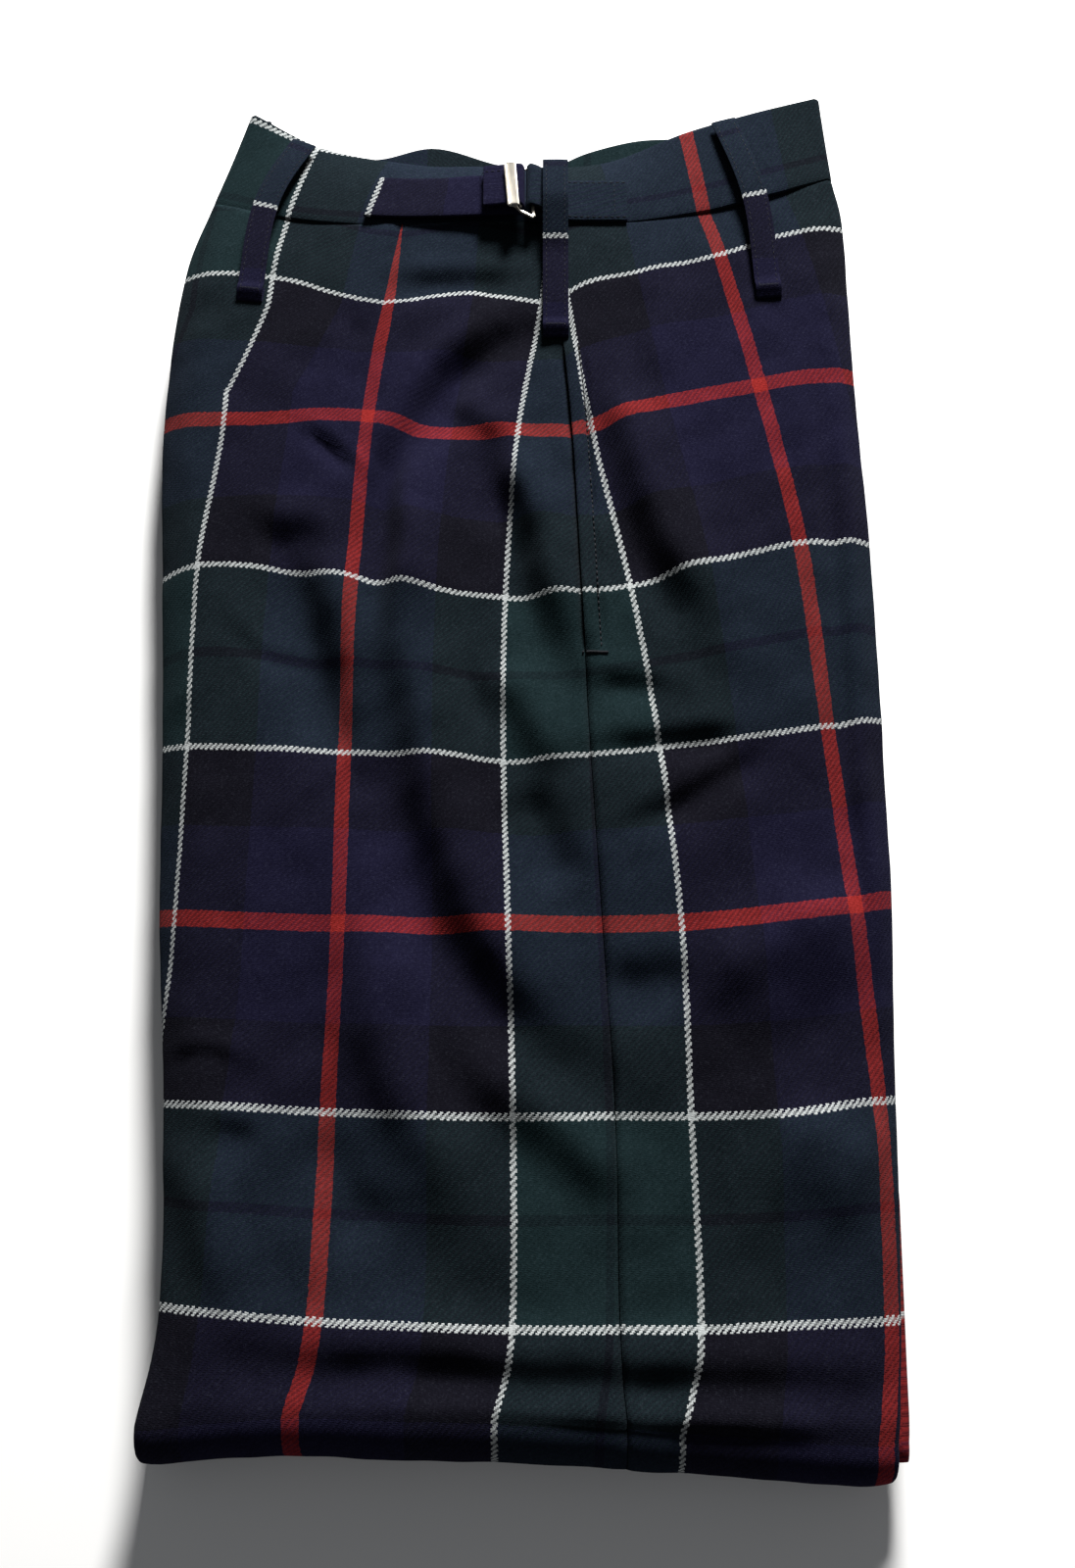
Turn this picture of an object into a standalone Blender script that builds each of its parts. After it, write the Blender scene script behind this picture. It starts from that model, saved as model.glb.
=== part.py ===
"""Tartan trews, folded flat along the leg creases and once across the legs.

The right half lies on top. Back is -X, front is +X, the waist is at +Y and the fold across the legs at -Y.
The right back and right front panels run from the waist seam down to the fold, round it, and along the
underside to the hem, so the panel that shows on top is also the one that rests. The hidden left leg and
the inner sides share one rounded solid, layered at its edges. Sizes are in millimetres, turned into
metres when a mesh is made.
"""
import math
from collections import namedtuple

import bpy
import numpy as np

MM = 0.001
CENTRE = (-11.45, 39.85)  # middle of the laid garment, moved to the origin
GAP = 0.3                # left at every seam, and under whatever lies on a panel
CLOTH = 1.5              # wall of a panel
BAND_CLOTH = 2.4         # waistband: cloth, interlining and its turned-in back
STRAP_CLOTH = 1.4
LOOP_CLOTH = 1.8
CREASE = 3.0             # outer radius where a leg turns over at its crease
TURNED_IN = 6.0          # how far the cloth runs back inside a crease
FOLD_Y = -246.0          # middle of the fold across the legs
FOLD_STEPS = 6
HEM_Y = 262.0            # the hem, on the underside
HEM_BACK_X, HEM_SEAM_X, HEM_FRONT_X = -124.0, 6.0, 108.0
UNDERSIDE_STEPS = 5
COLUMNS = 13             # points across a panel, and across each half of the waistband
SIDE_X = 8.0             # the side seam, up at the waist

# The cloth that shows, laid flat: one row for each line across it, and for each line the place (x, y, z)
# of five marks from the side seam out to the crease. z is the height of the outer face.
PANEL_MARKS = ("side_seam", "inner", "middle", "outer", "crease")
AT_CREASE = PANEL_MARKS.index("crease")
BACK_ROWS = {
    "waist_seam":  ((8, 279, 27), (-25, 279, 26), (-67, 278, 26), (-116, 280, 28), (-157, 291, 25)),
    "first_line":  ((8, 233, 28), (-32, 239, 30), (-70, 232, 27), (-128, 247, 28), (-169, 249, 23)),
    "second_line": ((18, 166, 28), (-25, 162, 28), (-76, 173, 28), (-136, 171, 28), (-173, 171, 22)),
    "third_line":  ((21, 85, 28), (-25, 85, 29), (-81, 93, 28), (-131, 96, 28), (-168, 95, 22)),
    "fourth_line": ((23, 12, 28), (-25, 9, 29), (-82, 14, 27), (-131, 16, 28), (-162, 16, 23)),
    "fifth_line":  ((27, -61, 28), (-25, -61, 28), (-81, -61, 27), (-126, -58, 27), (-157.5, -57, 23)),
    "sixth_line":  ((31, -137, 28), (-25, -136, 28), (-82, -135, 28), (-122, -133, 28), (-150, -132, 24)),
    "last_line":   ((31, -214, 31), (-25, -213, 31), (-86, -211, 31), (-118, -209, 30), (-145, -207, 26)),
    "fold":        ((33, -248, 32), (-25, -244, 32), (-91, -243, 32), (-122, -245, 31), (-150, -248, 27)),
}
FRONT_ROWS = {
    "waist_seam":  ((8, 279, 27), (42, 279, 27), (78, 284, 28), (112, 293, 29), (143, 305, 26)),
    "first_line":  ((8, 233, 28), (46, 248, 29), (87, 259, 29), (116, 269, 29), (147.5, 276, 25)),
    "second_line": ((18, 166, 28), (48, 176, 29), (85, 184, 29), (123, 193, 29), (148, 196, 25)),
    "third_line":  ((21, 85, 28), (42, 90, 27), (83, 100, 29), (121, 110, 29), (150, 112, 25)),
    "fourth_line": ((23, 12, 28), (53, 16, 28), (93, 20, 29), (130, 25, 28), (149.5, 29, 24)),
    "fifth_line":  ((27, -61, 28), (60, -60, 28), (95, -57, 28), (126, -53, 27), (148, -50, 24)),
    "sixth_line":  ((31, -137, 28), (61, -137, 28), (100, -135, 28), (125, -132, 28), (144, -130, 24)),
    "last_line":   ((31, -214, 31), (60, -214, 31), (100, -213, 31), (122, -212, 30), (139, -212, 27)),
    "fold":        ((33, -248, 32), (60, -251, 32), (98, -253, 32), (118, -254, 31), (134, -255, 27)),
}
ROW_STEPS = (3, 4, 4, 4, 4, 4, 4, 3)     # rows of mesh between two lines of a panel

# The waistband's top edge, at the same marks. It sinks and dips where the strap draws it in.
BAND_BACK_TOP = ((8, 319, 15), (-25, 317, 15), (-72, 317, 17), (-107, 324, 23), (-141, 341, 28))
BAND_FRONT_TOP = ((8, 319, 15), (34, 321, 17), (73, 331, 26), (104, 340, 28), (139, 350, 28))
BAND_ROLL = 1.6          # above 1 the band leaves the seam level and rolls down towards its top edge
BAND_RISE = 0.5          # the waistband's face stands over the panels' by this much
BAND_STEPS = 5

# The left half of the waistband lies behind and shows its inner face above the dip: (x, y, z) of its
# outer face, along its seam and along its top edge. Both ends curl up to the corners of the right half.
FAR_BAND_SEAM = ((-149, 293, 13), (-138, 292, 11), (-110, 292, 8), (-80, 294, 6), (-48, 295, 5),
                 (-18, 296, 5), (1, 296, 5), (26, 297, 5), (50, 298, 6), (76, 299, 6), (110, 302, 9),
                 (125, 303, 11), (136, 304, 13))
FAR_BAND_TOP = ((-136, 338, 18), (-126, 335, 14), (-104, 328, 9), (-80, 327, 7), (-48, 335, 6),
                (-18, 328, 5), (1, 325, 5), (26, 335, 6), (50, 341, 7), (76, 341, 9), (106, 343, 12),
                (122, 345, 14.5), (133, 346.5, 17.5))
FAR_BAND_COLUMNS = 37
END_THICK = 0.13         # share of the hidden layers' thickness left where they meet that seam

# Soft folds: a trough (depth below zero) or a ridge along a straight run, fading over its half width.
Fold = namedtuple("Fold", "x0 y0 x1 y1 half_width depth")
CLOTH_FOLDS = (
    Fold(-6, 228, -55, 147, 13, -4.0),
    Fold(-74, 69, -37, 15, 11, -3.0),
    Fold(-37, 15, -40, -43, 10, -3.0),
    Fold(-40, -43, 4, -114, 12, -2.0),
    Fold(-50, 112, -18, 34, 13, 2.5),
    Fold(56, 152, 49, 80, 10, -2.0),
    Fold(-140, 80, -142, -60, 12, -1.5),
    Fold(-150, -228, 125, -231, 6, -1.5),
    Fold(-150, -240, 125, -242, 6, 0.8),
)
AT_SEAM = 0.3            # share of a fold that reaches the waist seam

POCKET_TOP_Y, POCKET_FOOT_Y = 214.0, 58.0
POCKET_LIP = 1.0         # the turned and stitched front edge of the pocket stands over the back by this much
POCKET_LIP_WIDTH = 9.0
POCKET_END = 8.0         # over this length the lip rises from each end

# The hidden layers: their room under the panels, and one side of one crease of them as (out, share of
# the half height). Low on the front side the left leg stands out past the right one, to these (y, x).
UNDER_ROOM = 0.6
TURN_ROOM = 0.4
INSET = 11.5             # where a crease of the hidden layers begins, past the turned-in cloth over it
FLOOR_INSET = 12.7       # and the same for their flat underside
LAYER_SIDE = ((-4.0, 1.0), (-1.0, 0.78), (-0.3, 0.5), (-1.5, 0.18))
LAYER_CLEFT = -7.0
LAYER_HIDDEN = -0.5
LEFT_LEG_EDGE = ((-262, 139.3), (-249, 141.0), (-214, 142.6), (-167, 144.5), (-130, 143.3))
INNER_FOLD_TURNS = (0, 25, 45, 62, 76)
WAIST_STEP_BACK = 4.0    # the full thickness ends this far below the waist seam
FLOOR_COLUMNS = 9

# Belt loops: the middle of the top end and of the foot, in plan.
LOOP_WIDTH = 12.5
LOOP_LIFT = 0.8          # a loop arches off the waistband by this much
LOOP_ROOM = 0.5
LOOP_STEPS = 16
BELT_LOOPS = {
    "belt_loop_back": ((-113, 323), (-132, 234)),
    "belt_loop_side": ((8.5, 316), (8.5, 215)),
    "belt_loop_front": ((96, 334), (109.5, 236)),
}

STRAP_WIDTH = 23.0
STRAP_Y = (290.0, 294.0)         # middle line of the strap: at its sewn end, and at the buckle
STRAP_SEWN_X, STRAP_BEND_X, STRAP_TAIL_X = -80.0, -6.0, -26.0
STRAP_BOW = 2.5                  # the drawn strap bows off the waistband between its ends
STRAP_ROOM = 0.3
TAB_SEWN_X, TAB_BEND_X, TAB_INNER_X = 43.0, -5.4, 4.5
TAB_LAPS_OVER = 6.0              # right of here the tab comes down onto the waistband
TAB_COMES_DOWN = 12.0            # over this length
TAB_LOW_Y, TAB_HIGH_Y = 277.0, 312.0     # the side loop is raised over the tab between these
BEND = 2.5                       # outer radius of the cloth where it turns round a bar of the buckle
BEND_STEPS, RUN_STEPS = 5, 8
FRAME_LEFT_X, FRAME_RIGHT_X, BAR_X = -12.2, -2.9, -8.5
FRAME_HALF_LENGTH = 13.2
FRAME_CORNER = 2.2
FRAME_RAISED = 6.1               # the bar that shows lies over the strap's turned-back end
FRAME_RISE_X = -9.5              # left of here the frame rises to it
FRAME_THICK, BAR_WIDE, SIDE_WIDE = 1.2, 4.4, 1.5
BAR_RADIUS = 0.7
ROUND_STEPS = 8

Finish = namedtuple("Finish", "name colour roughness metallic")
WOOL = Finish("tartan_wool", (0.018, 0.022, 0.045), 0.85, 0.0)
NICKEL = Finish("nickel_plate", (0.75, 0.72, 0.66), 0.3, 1.0)


def smooth_through(knots, values, at):
    """A smooth curve through values, one row for each knot, read at the places `at`."""
    knots, values, at = (np.asarray(a, float) for a in (knots, values, at))
    slope = np.gradient(values, knots, axis=0)
    i = np.clip(np.searchsorted(knots, at) - 1, 0, len(knots) - 2)
    step = knots[i + 1] - knots[i]
    shape = (-1,) + (1,) * (values.ndim - 1)
    t = ((at - knots[i]) / step).reshape(shape)
    step = step.reshape(shape)
    return ((2 * t**3 - 3 * t**2 + 1) * values[i] + (t**3 - 2 * t**2 + t) * step * slope[i]
            + (3 * t**2 - 2 * t**3) * values[i + 1] + (t**3 - t**2) * step * slope[i + 1])


def across(marks, count, trim_start=0.0, trim_end=0.0):
    """`count` points along the smooth curve through marks (x, y, z), less a trim at each end."""
    marks = np.asarray(marks, float)
    run = np.concatenate([[0], np.cumsum(np.linalg.norm(np.diff(marks, axis=0), axis=1))])
    return smooth_through(run, marks, np.linspace(trim_start, run[-1] - trim_end, count))


def relief(x, y):
    """How far the soft folds raise or lower the cloth at a place in plan."""
    total = np.zeros_like(x)
    for fold in CLOTH_FOLDS:
        run = np.array([fold.x1 - fold.x0, fold.y1 - fold.y0])
        along = ((x - fold.x0) * run[0] + (y - fold.y0) * run[1]) / (run @ run)
        nearest = np.clip(along, 0, 1)
        away = np.hypot(x - fold.x0 - nearest * run[0], y - fold.y0 - nearest * run[1])
        total += fold.depth * np.exp(-(away / fold.half_width) ** 2)
    return total


def rows_between(rows):
    """The marks of every row of mesh, down a panel from the waist seam to the fold."""
    marks = np.array(list(rows.values()), float)
    at = np.concatenate([np.arange(n) / n + i for i, n in enumerate(ROW_STEPS)] + [[len(ROW_STEPS)]])
    return smooth_through(np.arange(len(marks)), marks, at)


def crease_turn(edge, normal, side):
    """Points of the cloth that turns over at a crease and runs back inside."""
    outward = np.array([side, 0.0, 0.0])
    centre = edge - normal * CREASE
    points = [centre + CREASE * (outward * math.sin(a) + normal * math.cos(a))
              for a in np.radians((45, 90, 135, 180))]
    points.append(points[-1] - outward * TURNED_IN)
    return points


def panel_sections(rows, side, pocket=False):
    """The sections of a panel: over the top, round the fold, and along the underside to the hem."""
    sections = []
    top = []
    for number, marks in enumerate(rows_between(rows)):
        points = across(marks, COLUMNS, GAP / 2, CREASE)
        fade = AT_SEAM if number == 0 else 1.0
        points[:, 2] += fade * relief(points[:, 0], points[:, 1])
        if pocket:
            points[:, 2] += pocket_lip(points)
        top.append(points)
    top[0][:, 1] -= GAP / 2
    for points in top:
        sections.append((points, np.array([0.0, 0.0, 1.0])))
    start = top[-1]
    radius = start[:, 2] / 2
    for angle in np.linspace(0, math.pi, FOLD_STEPS + 1)[1:]:
        points = start.copy()
        points[:, 1] -= radius * math.sin(angle)
        points[:, 2] = radius * (1 + math.cos(angle))
        sections.append((points, np.array([0.0, -math.sin(angle), math.cos(angle)])))
    hem_edge = HEM_BACK_X if side < 0 else HEM_FRONT_X
    hem = start.copy()
    hem[:, 0] = np.linspace(HEM_SEAM_X + side * GAP / 2, hem_edge - side * CREASE, COLUMNS)
    hem[:, 1] = HEM_Y
    hem[:, 2] = 0.0
    flat = start.copy()
    flat[:, 2] = 0.0
    for share in np.linspace(0, 1, UNDERSIDE_STEPS + 1)[1:]:
        sections.append((flat + (hem - flat) * share, np.array([0.0, 0.0, -1.0])))
    return [np.vstack([points, crease_turn(points[-1], normal, side)]) for points, normal in sections]


def pocket_lip(points):
    """The stitched edge of the pocket's mouth, raised along the side seam between its two ends."""
    beside = np.clip(1 - np.abs(points[:, 0] - points[0, 0]) / POCKET_LIP_WIDTH, 0, 1)
    y = points[:, 1]
    between = np.clip((POCKET_TOP_Y - y) / POCKET_END, 0, 1) * np.clip((y - POCKET_FOOT_Y) / POCKET_END, 0, 1)
    return POCKET_LIP * between * beside


def material(name, finish):
    made = bpy.data.materials.new(name + "_" + finish.name)
    made.use_nodes = True
    shader = made.node_tree.nodes["Principled BSDF"]
    shader.inputs["Base Color"].default_value = (*finish.colour, 1.0)
    shader.inputs["Roughness"].default_value = finish.roughness
    shader.inputs["Metallic"].default_value = finish.metallic
    return made


def placed(name, points, faces, finish):
    """A mesh object, with its own material, from points in laid millimetres."""
    points = (np.asarray(points, float) - np.array([*CENTRE, 0.0])) * MM
    mesh = bpy.data.meshes.new(name)
    mesh.from_pydata([tuple(p) for p in points], [], faces)
    mesh.validate()
    mesh.update()
    mesh.shade_smooth()
    mesh.materials.append(material(name, finish))
    made = bpy.data.objects.new(name, mesh)
    bpy.data.collections["tartan_trews"].objects.link(made)
    return made


def grid_faces(rows, columns, flip=False):
    """Quads of a grid of points, row after row."""
    faces = []
    for i in range(rows - 1):
        for j in range(columns - 1):
            a, b = i * columns + j, i * columns + j + 1
            face = (a, a + columns, b + columns, b)
            faces.append(face[::-1] if flip else face)
    return faces


def cloth(name, sections, wall, finish, flip=False):
    """A sheet through sections, given its wall on its inner side."""
    rows, columns = len(sections), len(sections[0])
    made = placed(name, np.vstack(sections), grid_faces(rows, columns, flip), finish)
    thick = made.modifiers.new("wall", "SOLIDIFY")
    thick.thickness = wall * MM
    thick.offset = -1.0
    thick.use_even_offset = True
    thick.use_quality_normals = True
    return made


def zipped(points, chain, other):
    """Triangles between two chains of point numbers, each step taking the shorter diagonal."""
    faces, i, j = [], 0, 0
    while i < len(chain) - 1 or j < len(other) - 1:
        def reach(a, b):
            if a == len(chain) or b == len(other):
                return math.inf
            return np.linalg.norm(points[chain[a]] - points[other[b]])
        if reach(i + 1, j) <= reach(i, j + 1):
            faces.append((chain[i], other[j], chain[i + 1]))
            i += 1
        else:
            faces.append((chain[i], other[j], other[j + 1]))
            j += 1
    return [f for f in faces if len(set(f)) == 3]


def solid_through(name, sections, finish, ends=None):
    """A closed solid through closed sections. ends: the numbers of the two points where an end is split."""
    rows, columns = len(sections), len(sections[0])
    faces = []
    for i in range(rows - 1):
        for j in range(columns):
            k = (j + 1) % columns
            faces.append((i * columns + j, (i + 1) * columns + j, (i + 1) * columns + k, i * columns + k))
    first, last = list(range(columns)), list(range((rows - 1) * columns, rows * columns))
    if ends is None:
        faces += [tuple(first), tuple(reversed(last))]
    else:
        points = np.vstack(sections)
        a, b = ends
        for loop, turned in ((first, False), (last, True)):
            chain, other = loop[a:b + 1], (loop[b:] + loop[:a + 1])[::-1]
            cap = zipped(points, chain, other)
            faces += [f[::-1] for f in cap] if not turned else cap
    return placed(name, np.vstack(sections), faces, finish)


def ring_through(name, sections, finish):
    """A closed ring through closed sections, the last joined to the first."""
    rows, columns = len(sections), len(sections[0])
    faces = []
    for i in range(rows):
        for j in range(columns):
            m, k = (i + 1) % rows, (j + 1) % columns
            faces.append((i * columns + j, m * columns + j, m * columns + k, i * columns + k))
    return placed(name, np.vstack(sections), faces, finish)


def make_panels():
    cloth("back_panel", panel_sections(BACK_ROWS, -1), CLOTH, WOOL, flip=True)
    cloth("front_panel", panel_sections(FRONT_ROWS, 1, pocket=True), CLOTH, WOOL)


def side_layers(edge_top, edge_foot, top_z, y, side, peek):
    """One side of the hidden layers, from top to bottom: two leg creases, one over the other."""
    low = 2 * CREASE + GAP + TURN_ROOM
    middle = top_z / 2
    upper = [(edge_top, -INSET, 1.0)] + [(edge_top, peek + out, share) for out, share in LAYER_SIDE]
    lower = [(edge_foot, out, -share) for _, out, share in reversed(upper)]
    cleft = ((edge_top + edge_foot) / 2, peek + LAYER_CLEFT, 0.0)
    return [(edge + side * out, y, middle + share * (middle - low))
            for edge, out, share in upper + [cleft] + lower]


def left_leg_peek(edge):
    """How far the left leg stands out past the right one's crease, at a place on that crease."""
    y, x = np.array(LEFT_LEG_EDGE, float).T
    return np.interp(edge[1], y, x - edge[0], right=LAYER_HIDDEN)


def hidden_section(back_marks, front_marks):
    """One closed section of the hidden layers, and for the fold its points' middle heights and reaches."""
    back = across(back_marks, COLUMNS, GAP / 2, CREASE)[:-1][::-1]
    front = across(front_marks, COLUMNS, GAP / 2, CREASE)[:-1]
    top = np.vstack([back, front[1:]])
    top[:, 2] += relief(top[:, 0], top[:, 1])
    outer = top.copy()
    under_wall = CLOTH + GAP + UNDER_ROOM
    top[:, 2] -= under_wall
    edge_back, edge_front = back_marks[AT_CREASE], front_marks[AT_CREASE]
    down = np.clip((top[:, 1] - FOLD_Y) / (HEM_Y - FOLD_Y), 0, 1).mean()
    foot_back, foot_front = ((1 - down) * rows["fold"][AT_CREASE][0] + down * hem_x
                             for rows, hem_x in ((BACK_ROWS, HEM_BACK_X), (FRONT_ROWS, HEM_FRONT_X)))
    peek = left_leg_peek(edge_front)
    front_side = side_layers(edge_front[0], foot_front, edge_front[2], edge_front[1], 1, peek)
    back_side = side_layers(edge_back[0], foot_back, edge_back[2], edge_back[1], -1, LAYER_HIDDEN)
    floor_x = np.linspace(foot_front - FLOOR_INSET, foot_back + FLOOR_INSET, FLOOR_COLUMNS)
    floor = [(x, np.interp(x, top[:, 0], top[:, 1]), under_wall) for x in floor_x]
    loop = np.array([*top, *front_side, *floor, *back_side[::-1]])
    middle = np.interp(loop[:, 0], outer[:, 0], outer[:, 2]) / 2
    reach = middle - under_wall
    at_front, at_back = slice(len(top), len(top) + len(front_side)), slice(-len(back_side), None)
    for at, edge in ((at_front, edge_front), (at_back, edge_back)):
        middle[at] = edge[2] / 2
        reach[at] = middle[at] - 2 * CREASE - GAP - TURN_ROOM
    clefts = (len(top) + len(LAYER_SIDE) + 1, len(loop) - len(LAYER_SIDE) - 2)
    return loop, middle, reach, clefts


def make_inner_layers():
    """The left leg, the inner sides and the turned-in fronts and backs, as one rounded solid."""
    back_rows, front_rows = rows_between(BACK_ROWS), rows_between(FRONT_ROWS)
    sections = []
    turns = [0.0] * (len(back_rows) - 1) + [math.radians(turn) for turn in INNER_FOLD_TURNS]
    for number, angle in enumerate(turns):
        row = min(number, len(back_rows) - 1)
        loop, middle, reach, clefts = hidden_section(back_rows[row], front_rows[row])
        if angle:
            loop[:, 1] -= reach * math.sin(angle)
            loop[:, 2] = middle + (loop[:, 2] - middle) * math.cos(angle)
        sections.append(loop)
    seam_x, seam_y, seam_z = np.array(FAR_BAND_SEAM, float).T
    waist_end = sections[0].copy()
    waist_end[:, 0] = np.clip(waist_end[:, 0], seam_x[0], seam_x[-1])
    waist_end[:, 1] = np.interp(waist_end[:, 0], seam_x, seam_y) - 2 * GAP
    level = waist_end[:, 2] - waist_end[:, 2].mean()
    waist_end[:, 2] = np.interp(waist_end[:, 0], seam_x, seam_z) + BAND_CLOTH / 2 + END_THICK * level
    sections[0][:, 1] -= WAIST_STEP_BACK
    solid_through("inner_layers", [waist_end] + sections, WOOL, clefts)


def make_waistband():
    """The right half in two pieces that meet under the side loop, and the left half behind them."""
    for name, top, rows, side in (("waistband_back", BAND_BACK_TOP, BACK_ROWS, -1),
                                  ("waistband_front", BAND_FRONT_TOP, FRONT_ROWS, 1)):
        low, high = np.array(rows["waist_seam"], float), np.array(top, float)
        sections = []
        for share in np.linspace(0, 1, BAND_STEPS + 1):
            marks = low + (high - low) * share
            marks[:, 2] = low[:, 2] + (high[:, 2] - low[:, 2]) * share ** BAND_ROLL
            points = across(marks, COLUMNS, GAP / 2, CREASE)
            points[:, 2] += AT_SEAM * (1 - share) * relief(points[:, 0], points[:, 1]) + BAND_RISE
            if share == 0:
                points[:, 1] += 1.5 * GAP
            sections.append(np.vstack([points, crease_turn(points[-1], np.array([0.0, 0.0, 1.0]), side)]))
        cloth(name, sections, BAND_CLOTH, WOOL, flip=side > 0)
    low, high = np.array(FAR_BAND_SEAM, float), np.array(FAR_BAND_TOP, float)
    shares = np.linspace(0, 1, BAND_STEPS)
    sections = [across(low + (high - low) * share, FAR_BAND_COLUMNS) for share in shares]
    cloth("waistband_left", sections, BAND_CLOTH, WOOL)


def surface_at(x, y):
    """Height of the outer face near a place in plan, on the waistband or just below it."""
    side = BACK_ROWS if x < SIDE_X else FRONT_ROWS
    top = BAND_BACK_TOP if x < SIDE_X else BAND_FRONT_TOP
    heights, places = [], []
    for marks in (top, side["waist_seam"], side["first_line"], side["second_line"]):
        marks = np.array(sorted(marks), float)
        places.append(np.interp(x, marks[:, 0], marks[:, 1]))
        heights.append(np.interp(x, marks[:, 0], marks[:, 2]))
    height = np.interp(-y, -np.array(places), heights)
    if y > places[1]:
        up = min(1.0, (y - places[1]) / (places[0] - places[1]))
        height = heights[1] + (heights[0] - heights[1]) * up ** BAND_ROLL
    return height + BAND_RISE + max(0.0, float(relief(np.array([float(x)]), np.array([float(y)]))[0]))


def ribbon(path, half_width, directions):
    """Sections of a flat strip along a path of points, as wide as twice half_width."""
    return [np.array([p - d * half_width, p, p + d * half_width]) for p, d in zip(path, directions)]


def make_belt_loops():
    for name, ((x0, y0), (x1, y1)) in BELT_LOOPS.items():
        along = np.array([x1 - x0, y1 - y0])
        beside = np.array([-along[1], along[0], 0.0]) / np.linalg.norm(along)
        path = []
        for share in np.linspace(0, 1, LOOP_STEPS + 1):
            x, y = x0 + along[0] * share, y0 + along[1] * share
            under = []
            for step in (-LOOP_WIDTH / 2, 0, LOOP_WIDTH / 2):
                place = (x + beside[0] * step, y + beside[1] * step)
                under.append(surface_at(*place))
                if STRAP_SEWN_X < place[0] < TAB_SEWN_X and TAB_LOW_Y < place[1] < TAB_HIGH_Y:
                    under.append(strap_bed(place[0], place[1]) + tab_height(place[0]))
            lift = LOOP_LIFT * math.sin(math.pi * share)
            path.append(np.array([x, y, max(under) + GAP + LOOP_ROOM + LOOP_CLOTH + lift]))
        cloth(name, ribbon(path, LOOP_WIDTH / 2, [beside] * len(path)), LOOP_CLOTH, WOOL)


def strap_middle(x):
    """The strap's middle line in y, and how far along the strap x is."""
    share = np.clip((x - STRAP_SEWN_X) / (STRAP_BEND_X - STRAP_SEWN_X), 0, 1)
    return STRAP_Y[0] + (STRAP_Y[1] - STRAP_Y[0]) * share, share


def strap_slope(x):
    """How the strap tips with the waistband under it: rise for each millimetre in y."""
    y, _ = strap_middle(x)
    step = STRAP_WIDTH / 4
    return (surface_at(x, y + step) - surface_at(x, y - step)) / (2 * step)


def strap_bed(x, y=None):
    """The height that the straight strap rests at, above the rounded waistband."""
    middle, share = strap_middle(x)
    slope = strap_slope(x)
    touch = max(surface_at(x, middle + s) - slope * s for s in np.linspace(-0.5, 0.5, 7) * STRAP_WIDTH)
    bow = STRAP_BOW * math.sin(math.pi * share)
    return touch + slope * ((middle if y is None else y) - middle) + GAP + STRAP_ROOM + bow


def tab_height(x):
    """The tab's outer face above its bed: over its own fold at the buckle, then down on the waistband."""
    down = np.clip((x - TAB_LAPS_OVER) / TAB_COMES_DOWN, 0, 1)
    return 2 * BEND + (STRAP_CLOTH - 2 * BEND) * down * down * (3 - 2 * down)


def folded_strip(x_from, x_bend, x_to, height):
    """Sections of a strip: its under layer starts at x_from and turns up at x_bend, its top ends at x_to."""
    way = 1 if x_bend > x_from else -1
    centre = x_bend - way * BEND
    runs = [(x, x, 0.0) for x in np.linspace(x_from, centre, RUN_STEPS)]
    runs += [(centre + way * BEND * math.sin(a), centre, BEND * (1 - math.cos(a)))
             for a in np.linspace(0, math.pi, BEND_STEPS + 1)[1:]]
    runs += [(x, x, height(x)) for x in np.linspace(centre, x_to, RUN_STEPS + 1)[1:]]
    path = [np.array([x, strap_middle(bed_x)[0], strap_bed(bed_x) + lift]) for x, bed_x, lift in runs]
    tips = [np.array([0.0, -way, -way * strap_slope(bed_x)]) for _, bed_x, _ in runs]
    return ribbon(path, STRAP_WIDTH / 2, tips)


def make_adjuster():
    """The strap from the back and the tab from the front, drawn together by a slide."""
    strap = folded_strip(STRAP_SEWN_X, STRAP_BEND_X, STRAP_TAIL_X, lambda x: 2 * BEND)
    cloth("adjuster_strap", strap, STRAP_CLOTH, WOOL)
    tab = folded_strip(TAB_INNER_X, TAB_BEND_X, TAB_SEWN_X, tab_height)
    cloth("adjuster_tab", tab, STRAP_CLOTH, WOOL)
    make_buckle()


def frame_corners():
    """The buckle frame's middle line as (x, offset along the bars), round its four corners."""
    left, right = FRAME_LEFT_X + FRAME_CORNER, FRAME_RIGHT_X - FRAME_CORNER
    straight = FRAME_HALF_LENGTH - FRAME_CORNER
    corners = ((left, -1, 180), (right, -1, 270), (right, 1, 0), (left, 1, 90))
    return [(x + FRAME_CORNER * math.cos(math.radians(first + turn)),
             end * straight + FRAME_CORNER * math.sin(math.radians(first + turn)))
            for x, end, first in corners for turn in (0, 30, 60, 90)]


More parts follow.
